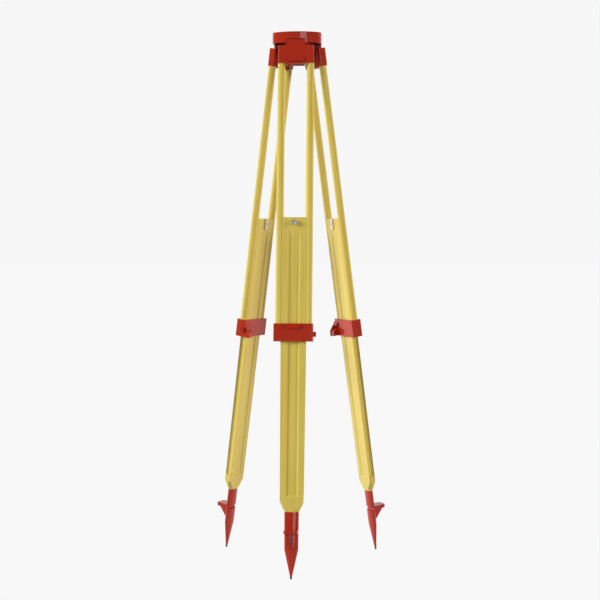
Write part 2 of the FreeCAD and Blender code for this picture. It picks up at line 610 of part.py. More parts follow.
def board():
    """The sliding lower board, tapered below the clamp, with a tenon for the shoe."""
    taper_start = -BOARD_TOP - BOARD_TAPER_START
    straight = Part.Face(board_section(0, taper_start)).extrude(Vector(0, 0, BOARD_TAPER_START))
    tapered = Part.makeLoft([board_section(0, taper_start), board_section(BOARD_TAPER, -BOARD_BOTTOM)],
                            True, True)
    foot_half = BOARD_HALF_WIDTH - BOARD_TAPER
    plain_foot = box(-foot_half, foot_half, -BOARD_HALF_THICKNESS, BOARD_HALF_THICKNESS,
                     -BOARD_BOTTOM, 2 * BOARD_FOOT_CHAMFER - BOARD_BOTTOM)
    timber = straight.multiFuse([tapered, plain_foot])
    timber = timber.cut(foot_waste())
    for recess in panel_recesses():
        timber = timber.cut(recess)
    timber = timber.fuse(tenon())
    timber = timber.cut(rod_y(STOP_BOLT_RADIUS, -BOARD_THICKNESS, BOARD_THICKNESS, 0, stop_bolt_z()))
    return timber.cut(Part.makeCompound(shoe_rivets())).removeSplitter()


def panel_recesses():
    """The shallow recesses in the board's two faces, with sloping edges."""
    top = -BOARD_TOP - PANEL_TOP_MARGIN
    foot = PANEL_FOOT_MARGIN - BOARD_BOTTOM
    floor = BOARD_HALF_THICKNESS - PANEL_DEPTH
    wide = (foot, top, -PANEL_HALF_WIDTH, PANEL_HALF_WIDTH)
    narrow = (foot + PANEL_SLOPE, top - PANEL_RUNOUT, PANEL_SLOPE - PANEL_HALF_WIDTH,
              PANEL_HALF_WIDTH - PANEL_SLOPE)
    recesses = []
    for y0, (foot0, top0, left0, right0), y1, (foot1, top1, left1, right1) in (
            (-BOARD_HALF_THICKNESS, wide, -floor, narrow), (floor, narrow, BOARD_HALF_THICKNESS, wide)):
        recesses.append(Part.makeWedge(left0, y0, foot0, foot1, left1, right0, y1, top0, top1, right1))
    return recesses


def foot_waste():
    """What is carved off the board's foot, so that it runs out to the shoe's oval."""
    height = 2 * BOARD_FOOT_CHAMFER
    half_width = 2 * (BOARD_HALF_WIDTH - BOARD_TAPER) - SHOE_HALF_WIDTH
    kept = Part.makeLoft([ellipse_wire(SHOE_HALF_WIDTH, SHOE_HALF_THICKNESS, -BOARD_BOTTOM),
                          ellipse_wire(half_width, SHOE_HALF_THICKNESS + FOOT_CARVE_DEPTH,
                                       height - BOARD_BOTTOM)], True, True)
    blank = box(-HALF_SPACING, HALF_SPACING, -BOARD_THICKNESS, BOARD_THICKNESS,
                -BOARD_BOTTOM - OVERCUT, height - BOARD_BOTTOM)
    return blank.cut(kept)


def tenon():
    """The board's tenon, which fills the socket in the shoe."""
    half_t = TENON_THICKNESS / 2
    return box(-TENON_HALF_WIDTH, TENON_HALF_WIDTH, -half_t, half_t,
               -BOARD_BOTTOM - TENON_LENGTH, -BOARD_BOTTOM)


def stop_bolt_z():
    """Height of the stop bolt."""
    return -BOARD_TOP - STOP_BOLT_DEPTH


def stop_block():
    """The steel block on the board's inner face that stops the board at full extension."""
    inner = BOARD_HALF_THICKNESS
    block = box(-STOP_WIDTH / 2, STOP_WIDTH / 2, inner, inner + STOP_THICKNESS,
                -BOARD_TOP - STOP_HEIGHT, -BOARD_TOP)
    return block.cut(rod_y(STOP_BOLT_RADIUS, inner - OVERCUT, inner + STOP_THICKNESS + OVERCUT,
                           0, stop_bolt_z()))


def stop_bolt():
    """The bolt that holds the stop block, with its round head on the board's outer face."""
    outer = -BOARD_HALF_THICKNESS
    tail = BOARD_HALF_THICKNESS + STOP_THICKNESS + STOP_BOLT_TAIL
    shank = rod_y(STOP_BOLT_RADIUS, outer, tail, 0, stop_bolt_z())
    head = rod_y(STOP_HEAD_RADIUS, outer - STOP_HEAD_HEIGHT, outer, 0, stop_bolt_z())
    rim = [edge for edge in head.Edges if edge.BoundBox.YMax < outer - STOP_HEAD_HEIGHT + 0.01]
    head = head.makeFillet(STOP_HEAD_ROUND, rim[:1])
    return head.fuse(shank).removeSplitter()


# ---- leg: shoe ----

def shoe_shank():
    """The oval shank of the shoe and its long cone."""
    top = -BOARD_BOTTOM
    waist = top - SHOE_SHANK_LENGTH
    upper = Part.makeLoft([ellipse_wire(SHOE_HALF_WIDTH, SHOE_HALF_THICKNESS, top),
                           ellipse_wire(SHOE_HALF_WIDTH - SHOE_SHANK_TAPER, SHOE_HALF_THICKNESS, waist)],
                          True, True)
    lower = Part.makeLoft([ellipse_wire(SHOE_HALF_WIDTH - SHOE_SHANK_TAPER, SHOE_HALF_THICKNESS, waist),
                           ellipse_wire(SHOE_END_HALF_WIDTH, SHOE_END_HALF_THICKNESS, top - SHOE_LENGTH)],
                          True, True)
    return upper.fuse(lower)


def pedal():
    """The tread plate and the web below it."""
    tread = -BOARD_BOTTOM - PEDAL_DEPTH
    plate = box(-SHOE_HALF_WIDTH, SHOE_HALF_WIDTH, -PEDAL_REACH, 0,
                tread - PEDAL_ROOT_THICKNESS, tread)
    corners = [edge for edge in plate.Edges
               if edge.BoundBox.YMax < -PEDAL_REACH + 0.01 and edge.BoundBox.ZLength > PEDAL_ROOT_THICKNESS / 2]
    plate = plate.makeFillet(PEDAL_CORNER_RADIUS, corners)
    below = tread - PEDAL_ROOT_THICKNESS
    underside = prism_x([(-PEDAL_REACH - OVERCUT, tread - PEDAL_TIP_THICKNESS),
                         (-SHOE_HALF_THICKNESS, below), (-SHOE_HALF_THICKNESS, below - OVERCUT),
                         (-PEDAL_REACH - OVERCUT, below - OVERCUT)],
                        -SHOE_HALF_WIDTH - OVERCUT, SHOE_HALF_WIDTH + OVERCUT)
    plate = plate.cut(underside)
    top_rim = [edge for edge in plate.Edges if edge.BoundBox.ZMin > tread - 0.01 and edge.BoundBox.YMax < -0.01]
    plate = plate.makeFillet(PEDAL_EDGE_ROUND, top_rim)
    web_tip = -PEDAL_REACH + PEDAL_EDGE_ROUND
    web = prism_x([(0, tread - OVERCUT), (web_tip, tread - PEDAL_TIP_THICKNESS + OVERCUT),
                   (web_tip, tread - PEDAL_TIP_THICKNESS), (-SHOE_HALF_THICKNESS, tread - WEB_FOOT),
                   (0, tread - WEB_FOOT)], -WEB_THICKNESS / 2, WEB_THICKNESS / 2)
    return [plate, web]


def shoe():
    """The cast shoe: socket, shank, pedal and cone."""
    casting = shoe_shank().multiFuse(pedal())
    tread = -BOARD_BOTTOM - PEDAL_DEPTH
    notch_y = SHOE_HALF_THICKNESS + SHOE_NOTCH_RADIUS - SHOE_NOTCH_DEPTH
    casting = casting.cut(rod_x(SHOE_NOTCH_RADIUS, -SHOE_HALF_WIDTH - OVERCUT,
                                SHOE_HALF_WIDTH + OVERCUT, notch_y, tread - SHOE_NOTCH_DROP))
    casting = casting.cut(tenon())
    end = -BOARD_BOTTOM - SHOE_LENGTH
    casting = casting.cut(rod_z(POINT_SHANK_RADIUS, end - OVERCUT, end + POINT_SHANK_LENGTH))
    return casting.cut(Part.makeCompound(shoe_rivets())).removeSplitter()


def shoe_rivets():
    """The rivets through the shoe and the board's tenon."""
    depths = (TENON_LENGTH / 4, TENON_LENGTH * 3 / 4)
    reach = SHOE_HALF_WIDTH - SHOE_SHANK_TAPER
    return [rod_x(RIVET_RADIUS, -reach, reach, 0, -BOARD_BOTTOM - depth) for depth in depths]


def point():
    """The steel point driven into the shoe's end."""
    end = -BOARD_BOTTOM - SHOE_LENGTH
    straight_end = end - POINT_LENGTH + POINT_TIP_LENGTH
    shank = rod_z(POINT_SHANK_RADIUS, end, end + POINT_SHANK_LENGTH)
    nib = rod_z(POINT_RADIUS, straight_end, end)
    tip = Part.makeCone(POINT_TIP_RADIUS, POINT_RADIUS, POINT_TIP_LENGTH, Vector(0, 0, end - POINT_LENGTH))
    return nib.multiFuse([shank, tip]).removeSplitter()


# ---- fixing screw ----

def screw_arm():
    """The slotted arm that swings under the head and carries the fixing screw."""
    wide = rod_z(ARM_HALF_WIDTH, ARM_BOTTOM, ARM_TOP, 0, ARM_HALF_WIDTH - ARM_END)
    narrow = rod_z(ARM_PIVOT_HALF_WIDTH, ARM_BOTTOM, ARM_TOP, 0, ARM_PIVOT_RADIUS)
    shoulder = ARM_PIVOT_RADIUS - ARM_HALF_WIDTH
    bar = box(-ARM_HALF_WIDTH, ARM_HALF_WIDTH, ARM_HALF_WIDTH - ARM_END, shoulder, ARM_BOTTOM, ARM_TOP)
    neck = Part.Face(Part.makePolygon([Vector(-ARM_HALF_WIDTH, shoulder, ARM_BOTTOM),
                                       Vector(ARM_HALF_WIDTH, shoulder, ARM_BOTTOM),
                                       Vector(ARM_PIVOT_HALF_WIDTH, ARM_PIVOT_RADIUS, ARM_BOTTOM),
                                       Vector(-ARM_PIVOT_HALF_WIDTH, ARM_PIVOT_RADIUS, ARM_BOTTOM),
                                       Vector(-ARM_HALF_WIDTH, shoulder, ARM_BOTTOM)]))
    arm = bar.multiFuse([wide, narrow, neck.extrude(Vector(0, 0, ARM_THICKNESS))])
    slot_half = BUSHING_RADIUS + RUNNING_CLEARANCE
    slot_end = SLOT_TRAVEL + SEAT_CLEARANCE
    slot = box(-slot_half, slot_half, -slot_end, slot_end, ARM_BOTTOM - OVERCUT, ARM_TOP + OVERCUT)
    for y in (-slot_end, slot_end):
        slot = slot.fuse(rod_z(slot_half, ARM_BOTTOM - OVERCUT, ARM_TOP + OVERCUT, 0, y))
    arm = arm.cut(slot)
    return arm.cut(rod_z(PIVOT_SCREW_RADIUS + RUNNING_CLEARANCE, ARM_BOTTOM - OVERCUT,
                         ARM_TOP + OVERCUT, 0, ARM_PIVOT_RADIUS)).removeSplitter()


def pivot_screw():
    """The shouldered screw that the arm swings on."""
    shank = rod_z(PIVOT_SCREW_RADIUS, ARM_BOTTOM, PLATE_UNDERSIDE + PIVOT_SCREW_DEPTH,
                  0, ARM_PIVOT_RADIUS)
    head = rod_z(PIVOT_HEAD_RADIUS, ARM_BOTTOM - PIVOT_HEAD_HEIGHT, ARM_BOTTOM, 0, ARM_PIVOT_RADIUS)
    return head.fuse(shank).removeSplitter()


def screw_bushing():
    """The flanged bushing that slides in the arm's slot."""
    flange = rod_z(BUSHING_FLANGE_RADIUS, ARM_TOP, ARM_TOP + BUSHING_FLANGE_HEIGHT)
    barrel = rod_z(BUSHING_RADIUS, ARM_BOTTOM - BUSHING_TAIL, ARM_TOP)
    bore = rod_z(FIXING_SCREW_RADIUS + RUNNING_CLEARANCE, ARM_BOTTOM - BUSHING_TAIL - OVERCUT, 0)
    return flange.fuse(barrel).cut(bore).removeSplitter()


def bushing_keeper():
    """The ring under the arm that keeps the bushing in its slot."""
    ring = rod_z(KEEPER_RADIUS, ARM_BOTTOM - KEEPER_HEIGHT, ARM_BOTTOM)
    return ring.cut(rod_z(BUSHING_RADIUS, ARM_BOTTOM - KEEPER_HEIGHT - OVERCUT, ARM_BOTTOM + OVERCUT))


def retaining_ring():
    """The ring in the screw's groove that hangs the screw on its bushing."""
    seat = ARM_TOP + BUSHING_FLANGE_HEIGHT
    ring = rod_z(RING_RADIUS, seat, seat + RING_HEIGHT)
    bore = rod_z(RING_GROOVE_RADIUS + RUNNING_CLEARANCE, seat - OVERCUT, seat + RING_HEIGHT + OVERCUT)
    return ring.cut(bore)


def fixing_screw():
    """The five-eighths-inch screw that goes into an instrument's base."""
    seat = ARM_TOP + BUSHING_FLANGE_HEIGHT
    top = -FIXING_SCREW_TIP_DROP
    rod = rod_z(FIXING_SCREW_RADIUS, -GRIP_TOP - GRIP_HEIGHT + GRIP_HOLLOW_DEPTH, top - FIXING_SCREW_CHAMFER)
    tip = Part.makeCone(FIXING_SCREW_RADIUS, FIXING_SCREW_RADIUS - FIXING_SCREW_CHAMFER,
                        FIXING_SCREW_CHAMFER, Vector(0, 0, top - FIXING_SCREW_CHAMFER))
    groove = rod_z(FIXING_SCREW_RADIUS + OVERCUT, seat - RUNNING_CLEARANCE,
                   seat + RING_HEIGHT + RUNNING_CLEARANCE)
    groove = groove.cut(rod_z(RING_GROOVE_RADIUS, seat - OVERCUT, seat + RING_HEIGHT + OVERCUT))
    return rod.fuse(tip).cut(groove).removeSplitter()


def screw_grip():
    """The fluted hand grip fixed on the screw."""
    grip = rod_z(GRIP_RADIUS, GRIP_BOTTOM, -GRIP_TOP)
    rims = [edge for edge in grip.Edges if edge.BoundBox.ZLength < 0.01]
    grip = grip.makeFillet(RIM_ROUND, rims)
    centre = GRIP_RADIUS + GRIP_FLUTE_RADIUS - GRIP_FLUTE_DEPTH
    for step in range(GRIP_FLUTES):
        angle = 2 * math.pi * step / GRIP_FLUTES
        grip = grip.cut(rod_z(GRIP_FLUTE_RADIUS, GRIP_BOTTOM - OVERCUT, -GRIP_TOP + OVERCUT,
                              centre * math.cos(angle), centre * math.sin(angle)))
    grip = grip.cut(rod_z(GRIP_HOLLOW_RADIUS, GRIP_BOTTOM - OVERCUT, GRIP_BOTTOM + GRIP_HOLLOW_DEPTH))
    bore = rod_z(FIXING_SCREW_RADIUS, GRIP_BOTTOM, -GRIP_TOP + OVERCUT)
    return grip.cut(bore).removeSplitter()


def plumb_hook():
    """The wire hook inside the hollow grip, for a plumb line."""
    top = GRIP_BOTTOM + GRIP_HOLLOW_DEPTH
    bend = top - HOOK_STEM
    stem = Part.LineSegment(Vector(0, 0, top), Vector(0, 0, bend)).toShape()
    low = Vector(HOOK_BEND_RADIUS, 0, bend - HOOK_BEND_RADIUS)
    end = Vector(2 * HOOK_BEND_RADIUS, 0, bend)
    curl = Part.Arc(Vector(0, 0, bend), low, end).toShape()
    path = Part.Wire([stem, curl])
    section = Part.Wire(Part.makeCircle(HOOK_WIRE_RADIUS, Vector(0, 0, top), Vector(0, 0, 1)))
    return path.makePipeShell([section], True, False)


# ---- whole tripod ----

def head_nodes():
    """The pieces of the head and its fixing screw, by node name."""
    return {
        "head_casting": head_casting(),
        "screw_arm": screw_arm(),
        "arm_pivot_screw": pivot_screw(),
        "screw_bushing": screw_bushing(),
        "bushing_keeper": bushing_keeper(),
        "retaining_ring": retaining_ring(),
        "fixing_screw": fixing_screw(),
        "screw_grip": screw_grip(),
        "plumb_hook": plumb_hook(),
    }


def leg_nodes():
    """The pieces of one leg in its leg frame, by node name."""
    return {
        "hinge_casting": hinge_casting(),
        "hinge_bushes": hinge_bushes(),
        "rail_left": rail(-1),
        "rail_right": rail(1),
        "rail_lock_pins": Part.makeCompound(lock_pins("hinge") + lock_pins("clamp")),
        "clamp_casting": clamp_casting(),
        "clamp_screw": clamp_screw(),
        "clamp_lever": clamp_lever(),
        "clamp_jaw": clamp_jaw(),
        "board": board(),
        "stop_block": stop_block(),
        "stop_bolt": stop_bolt(),
        "shoe": shoe(),
        "shoe_rivets": Part.makeCompound(shoe_rivets()),
        "point": point(),
    }


def main():
    """Build every piece and write one file for each node."""
    os.makedirs("parts", exist_ok=True)
    for name, shape in head_nodes().items():
        save(name, shape)
    upright_leg = leg_nodes()
    hinge_pieces = {"hinge_bolt": hinge_bolt(), "hinge_nut": hinge_nut()}
    for leg in LEG_TURNS:
        for name, shape in upright_leg.items():
            save(leg + "_" + name, placed(shape, leg_placement(leg)))
        for name, shape in hinge_pieces.items():
            save(leg + "_" + name, placed(shape, head_placement(leg)))


main()
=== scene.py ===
"""Looks of a surveying tripod: red castings, varnished legs and a steel fixing screw."""

import json
import logging
import math
from dataclasses import dataclass, field
from enum import Enum
from typing import Callable, Optional, Sequence

import bpy
from mathutils import Matrix, Vector

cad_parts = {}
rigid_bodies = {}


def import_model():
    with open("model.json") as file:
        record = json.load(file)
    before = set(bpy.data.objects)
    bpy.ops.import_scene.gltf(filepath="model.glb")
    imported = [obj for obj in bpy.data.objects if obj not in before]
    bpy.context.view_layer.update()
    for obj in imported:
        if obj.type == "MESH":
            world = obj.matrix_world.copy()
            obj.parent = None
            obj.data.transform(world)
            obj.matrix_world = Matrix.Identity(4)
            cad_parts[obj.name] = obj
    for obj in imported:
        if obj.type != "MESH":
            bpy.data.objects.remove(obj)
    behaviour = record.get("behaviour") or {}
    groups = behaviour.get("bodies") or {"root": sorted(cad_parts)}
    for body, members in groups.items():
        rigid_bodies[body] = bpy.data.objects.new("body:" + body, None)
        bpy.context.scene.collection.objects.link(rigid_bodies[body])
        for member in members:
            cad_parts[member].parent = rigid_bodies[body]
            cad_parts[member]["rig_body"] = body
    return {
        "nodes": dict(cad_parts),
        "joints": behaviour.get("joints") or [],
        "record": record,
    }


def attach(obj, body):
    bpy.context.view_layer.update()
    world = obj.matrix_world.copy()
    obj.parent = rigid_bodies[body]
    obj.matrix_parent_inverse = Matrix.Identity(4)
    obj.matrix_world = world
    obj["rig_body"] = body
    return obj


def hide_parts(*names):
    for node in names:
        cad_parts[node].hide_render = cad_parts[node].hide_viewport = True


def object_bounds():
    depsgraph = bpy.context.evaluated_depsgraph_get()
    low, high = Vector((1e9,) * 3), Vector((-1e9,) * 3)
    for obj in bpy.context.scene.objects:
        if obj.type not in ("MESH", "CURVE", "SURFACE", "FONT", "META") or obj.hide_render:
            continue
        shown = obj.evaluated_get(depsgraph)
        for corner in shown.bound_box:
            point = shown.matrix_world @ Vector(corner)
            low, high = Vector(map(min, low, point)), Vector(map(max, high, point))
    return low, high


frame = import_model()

logging.basicConfig(level=logging.INFO, format="%(message)s")
LOG = logging.getLogger("tripod")

MM = 0.001
UP = Vector((0, 0, 1))
CAD_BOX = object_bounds()

Colour = tuple[float, float, float, float]
Piece = bpy.types.Object
Material = bpy.types.Material
Tree = bpy.types.NodeTree
Node = bpy.types.Node
Socket = bpy.types.NodeSocket


# ---- names and places

class Leg(Enum):
    """The three legs, by the name that their nodes and joints start with."""

    FRONT = "front"
    RIGHT = "right"
    LEFT = "left"


def joint_of(name: str) -> dict:
    """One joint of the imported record, by its name."""
    return next(joint for joint in frame["joints"] if joint["name"] == name)


def pin_frame(leg: Leg, z_axis: Vector) -> Matrix:
    """A frame on a leg's hinge pin, with X along the pin.

    Args:
        leg: Which leg.
        z_axis: The frame's Z direction.

    Returns:
        The matrix from that frame to the row frame.
    """
    hinge = joint_of(leg.value + "_leg_hinge")
    x_axis = -Vector(hinge["axis"]).normalized()
    y_axis = z_axis.cross(x_axis).normalized()
    rotation = Matrix((x_axis, y_axis, z_axis)).transposed().to_4x4()
    return Matrix.Translation(Vector(hinge["pos_m"])) @ rotation


def leg_matrix(leg: Leg) -> Matrix:
    """The leg frame: on the hinge pin, X along it, Y to the tripod's centre and Z up the leg."""
    return pin_frame(leg, -Vector(joint_of(leg.value + "_leg_extension")["axis"]).normalized())


def hinge_matrix(leg: Leg) -> Matrix:
    """The hinge frame: like the leg frame, but upright, because the pin stays with the head."""
    return pin_frame(leg, UP)


# ---- modelling by operators

TO_X = Matrix.Rotation(math.pi / 2, 4, "Y")        # turned pieces are made along Z
TO_MINUS_Y = Matrix.Rotation(math.pi / 2, 4, "X")
NO_MOVE = Matrix.Identity(4)
MERGE_DISTANCE = 2e-6
FLAT_WITHIN = 0.6                   # degrees between triangles of one flat face
ROUNDING_SHARP = 50.0               # degrees at which a rounded piece keeps an edge
CUT_PAST = 1.0 * MM                 # how far a cutting solid passes what it cuts
THREAD_DEPTH = 0.61                 # shares of the pitch
THREAD_CREST = 1 / 8
THREAD_MERGE = 1 / 100


def deselect() -> None:
    """Leave nothing selected and no edit mode open."""
    if bpy.context.object is not None and bpy.context.object.mode != "OBJECT":
        bpy.ops.object.mode_set(mode="OBJECT")
    bpy.ops.object.select_all(action="DESELECT")


def activate(piece: Piece) -> None:
    """Make one object the only selected one and the active one."""
    deselect()
    piece.select_set(True)
    bpy.context.view_layer.objects.active = piece


def edit_all(piece: Piece, *steps: Callable[[], object]) -> None:
    """Run edit-mode operators on a whole mesh.

    Args:
        piece: The object to edit.
        steps: Calls to make in edit mode with everything selected.
    """
    activate(piece)
    bpy.ops.object.mode_set(mode="EDIT")
    bpy.ops.mesh.select_all(action="SELECT")
    for step in steps:
        step()
    bpy.ops.object.mode_set(mode="OBJECT")


def face_outwards(piece: Piece) -> None:
    """Turn all of a closed mesh's faces outwards."""
    edit_all(piece, lambda: bpy.ops.mesh.normals_make_consistent(inside=False))


def apply_modifier(piece: Piece, kind: str, **values: object) -> None:
    """Add one modifier with these values and apply it.

    Args:
        piece: The object.
        kind: The modifier's type name.
        values: The modifier's properties.
    """
    activate(piece)
    modifier = piece.modifiers.new(kind.lower(), kind)
    for name, value in values.items():
        setattr(modifier, name, value)
    bpy.ops.object.modifier_apply(modifier=modifier.name)


def place(piece: Piece, matrix: Matrix) -> Piece:
    """Move a piece's mesh by a matrix, so that its object stays at the origin.

    Args:
        piece: A mesh object.
        matrix: Where its mesh goes, after the object's own place.

    Returns:
        The same object.
    """
    bpy.context.view_layer.update()
    piece.data.transform(matrix @ piece.matrix_world)
    piece.matrix_world = NO_MOVE
    piece.data.update()
    return piece


def take_up(name: str) -> Piece:
    """Name the primitive that was just added, and put its place in its mesh."""
    piece = bpy.context.object
    piece.name = name
    return place(piece, NO_MOVE)


def smooth(piece: Piece, degrees: float = 32.0) -> None:
    """Shade a piece smooth, with an edge where its faces meet at more than an angle."""
    activate(piece)
    bpy.ops.object.shade_smooth_by_angle(angle=math.radians(degrees))


def round_edges(piece: Piece, width: float, segments: int = 3, degrees: float = 28.0) -> None:
    """Round a piece's edges and keep its flat faces flat to the light.

    Args:
        piece: The object.
        width: The rounding's width in metres.
        segments: Faces across the rounding.
        degrees: Edges sharper than this are rounded.
    """
    apply_modifier(piece, "BEVEL", width=width, segments=segments, limit_method="ANGLE",
                   angle_limit=math.radians(degrees), miter_outer="MITER_ARC",
                   use_clamp_overlap=True, loop_slide=True)
    smooth(piece, ROUNDING_SHARP)
    apply_modifier(piece, "WEIGHTED_NORMAL", weight=60, keep_sharp=True, mode="FACE_AREA")


def copy_piece(piece: Piece, name: str, matrix: Matrix = NO_MOVE) -> Piece:
    """Copy a piece with its own mesh.

    Args:
        piece: The finished piece.
        name: The copy's name.
        matrix: Where the copy goes, from where the piece is.

    Returns:
        The copy.
    """
    twin = bpy.data.objects.new(name, piece.data.copy())
    twin.data.name = name
    bpy.context.scene.collection.objects.link(twin)
    return place(twin, matrix)


def node_copy(node: str, name: str) -> Piece:
    """A merged copy of a CAD node, with whole flat faces in place of loose triangles.

    Args:
        node: The CAD node.
        name: The copy's name.

    Returns:
        The copy, at the node's place.
    """
    twin = copy_piece(frame["nodes"][node], name)
    twin.data.materials.clear()
    activate(twin)
    if twin.data.has_custom_normals:
        bpy.ops.mesh.customdata_custom_splitnormals_clear()
    edit_all(twin,
             lambda: bpy.ops.mesh.remove_doubles(threshold=MERGE_DISTANCE),
             lambda: bpy.ops.mesh.dissolve_limited(angle_limit=math.radians(FLAT_WITHIN)))
    return twin


def node_box(node: str, home: Matrix) -> tuple[Vector, Vector]:
    """The low and high corners of a CAD node in a frame of its own.

    Args:
        node: The CAD node.
        home: The frame's matrix.

    Returns:
        The low corner and the high corner.
    """
    inverse = home.inverted()
    points = [inverse @ vertex.co for vertex in frame["nodes"][node].data.vertices]
    return (Vector([min(point[axis] for point in points) for axis in range(3)]),
            Vector([max(point[axis] for point in points) for axis in range(3)]))


def turned(name: str, stations: Sequence[tuple[float, float]], sides: int = 48) -> Piece:
    """A solid turned about Z: a disc drawn out from station to station.

    Args:
        name: The piece's name.
        stations: Radius and height of each step, in order along Z.
        sides: Faces round the axis.

    Returns:
        The piece.
    """
    deselect()
    radius, height = stations[0]
    bpy.ops.mesh.primitive_circle_add(vertices=sides, radius=radius, fill_type="NGON",
                                      location=(0, 0, height))
    piece = take_up(name)
    activate(piece)
    bpy.ops.object.mode_set(mode="EDIT")
    bpy.ops.mesh.select_all(action="SELECT")
    for next_radius, next_height in stations[1:]:
        bpy.ops.mesh.extrude_region_move(TRANSFORM_OT_translate={"value": (0, 0, next_height - height)})
        share = next_radius / radius
        bpy.ops.transform.resize(value=(share, share, 1), center_override=(0, 0, next_height))
        radius, height = next_radius, next_height
    bpy.ops.object.mode_set(mode="OBJECT")
    face_outwards(piece)
    return piece


def drill(name: str, radius: float, low: float, high: float) -> Piece:
    """A plain cylinder about Z for cutting, a little longer than what it cuts."""
    return turned(name, [(radius, low - CUT_PAST), (radius, high + CUT_PAST)])


def hexagon(name: str, flats: float, low: float, high: float) -> Piece:
    """A hexagonal bar about Z, from its width across flats."""
    corner = flats / math.sqrt(3)
    return turned(name, [(corner, low), (corner, high)], sides=6)


def rounded_end(radius: float, height: float, rounding: float, rising: bool = True,
                steps: int = 4) -> list[tuple[float, float]]:
    """Stations for a rounded rim at the end of a turned solid.

    Args:
        radius: The solid's radius.
        height: Where its end face is.
        rounding: The rim's rounding.
        rising: Whether the end is the upper one.
        steps: Stations along the rounding, less one.

    Returns:
        The stations in order along Z.
    """
    sign = 1 if rising else -1
    stations = []
    for step in range(steps + 1):
        turn = math.pi / 2 * step / steps
        stations.append((radius - rounding * (1 - math.cos(turn)),
                         height - sign * rounding * (1 - math.sin(turn))))
    return stations if rising else stations[::-1]


def combine(piece: Piece, tool: Piece, operation: str) -> None:
    """Cut a piece with a tool or keep what both share, by a boolean, and remove the tool."""
    apply_modifier(piece, "BOOLEAN", operation=operation, object=tool, solver="EXACT")
    bpy.data.objects.remove(tool, do_unlink=True)


def thread(name: str, radius: float, pitch: float, low: float, high: float, steps: int = 36) -> Piece:
    """A right-handed sixty-degree thread about Z, closed flat at both ends.

    Args:
        name: The piece's name.
        radius: The thread's outside radius.
        pitch: Its pitch.
        low: Where it starts.
        high: Where it ends.
        steps: Faces round each turn.

    Returns:
        The piece.
    """
    depth = THREAD_DEPTH * pitch
    crest = THREAD_CREST * pitch
    deselect()
    bpy.ops.mesh.primitive_plane_add(size=pitch, location=(radius - depth, 0, low - pitch))
    piece = take_up(name)
    flank = (pitch - 2 * crest) / 2
    edit_all(piece, lambda: bpy.ops.mesh.merge(type="CENTER"))
    activate(piece)
    bpy.ops.object.mode_set(mode="EDIT")
    bpy.ops.mesh.select_mode(type="VERT")
    bpy.ops.mesh.select_all(action="SELECT")
    for out, rise in ((0, crest), (depth, flank), (0, crest), (-depth, flank)):
        bpy.ops.mesh.extrude_region_move(TRANSFORM_OT_translate={"value": (out, 0, rise)})
    bpy.ops.object.mode_set(mode="OBJECT")
    apply_modifier(piece, "SCREW", axis="Z", angle=2 * math.pi, screw_offset=pitch, steps=steps,
                   render_steps=steps, iterations=math.ceil((high - low) / pitch) + 2,
                   use_merge_vertices=True, merge_threshold=THREAD_MERGE * pitch)
    edit_all(piece, lambda: bpy.ops.mesh.remove_doubles(threshold=THREAD_MERGE * pitch))
    for height, keep_above in ((low, True), (high, False)):
        edit_all(piece, lambda: bpy.ops.mesh.bisect(
            plane_co=(0, 0, height), plane_no=UP, use_fill=True,
            clear_inner=keep_above, clear_outer=not keep_above))
    face_outwards(piece)
    return piece


def join(pieces: Sequence[Piece]) -> Piece:
    """Join pieces into the first of them."""
    activate(pieces[0])
    for piece in pieces[1:]:
        piece.select_set(True)
    bpy.ops.object.join()
    return pieces[0]


# ---- shader groups

def new_group(name: str, colours: Sequence[str], values: Sequence[str]) -> tuple[Tree, Node, Node]:
    """Start a shader node group that reads Vector and colours, and gives Color and values.

    Args:
        name: The group's name.
        colours: Names of its colour inputs.
        values: Names of its value outputs.

    Returns:
        The group with its input node and its output node.
    """
    tree = bpy.data.node_groups.new(name, "ShaderNodeTree")
    sockets = [("Vector", "INPUT", "Vector"), *((label, "INPUT", "Color") for label in colours),
               ("Color", "OUTPUT", "Color"), *((label, "OUTPUT", "Float") for label in values)]
    for label, way, kind in sockets:
        tree.interface.new_socket(label, in_out=way, socket_type="NodeSocket" + kind)
    return tree, tree.nodes.new("NodeGroupInput"), tree.nodes.new("NodeGroupOutput")


def feed(tree: Tree, node: Node, **values: object) -> None:
    """Link or set inputs of a node.

    Args:
        tree: The node tree.
        node: The node.
        values: Socket or constant by the input's name, with _ for a space.
    """
    for name, value in values.items():
        connect(tree, node.inputs[name.replace("_", " ")], value)


def connect(tree: Tree, target: Socket, value: object) -> None:
    """Link a socket to an input, or set the input where the value is a constant."""
    if isinstance(value, Socket):
        tree.links.new(value, target)
    else:
        target.default_value = value


def add_noise(tree: Tree, vector: Socket, scale: float, detail: float, roughness: float = 0.5) -> Node:
    """Add a noise texture that reads a vector.

    Args:
        tree: The node tree.
        vector: What it reads.
        scale: Its scale.
        detail: Its octaves.
        roughness: How strong the finer octaves are.

    Returns:
        The texture node.
    """
    node = tree.nodes.new("ShaderNodeTexNoise")
    feed(tree, node, Vector=vector, Scale=scale, Detail=detail, Roughness=roughness)
    return node


def add_range(tree: Tree, value: Socket, low: float, high: float,
              to_low: float = 0.0, to_high: float = 1.0) -> Socket:
    """Add a clamped map of one range to another.

    Args:
        tree: The node tree.
        value: What is mapped.
        low: Start of the range read.
        high: End of the range read.
        to_low: What low becomes.
        to_high: What high becomes.

    Returns:
        The mapped value.
    """
    node = tree.nodes.new("ShaderNodeMapRange")
    feed(tree, node, Value=value, From_Min=low, From_Max=high, To_Min=to_low, To_Max=to_high)
    return node.outputs["Result"]


class Mixed(Enum):
    """What a mix node mixes, by the type of its sockets."""

    COLOUR = "RGBA"
    VALUE = "VALUE"


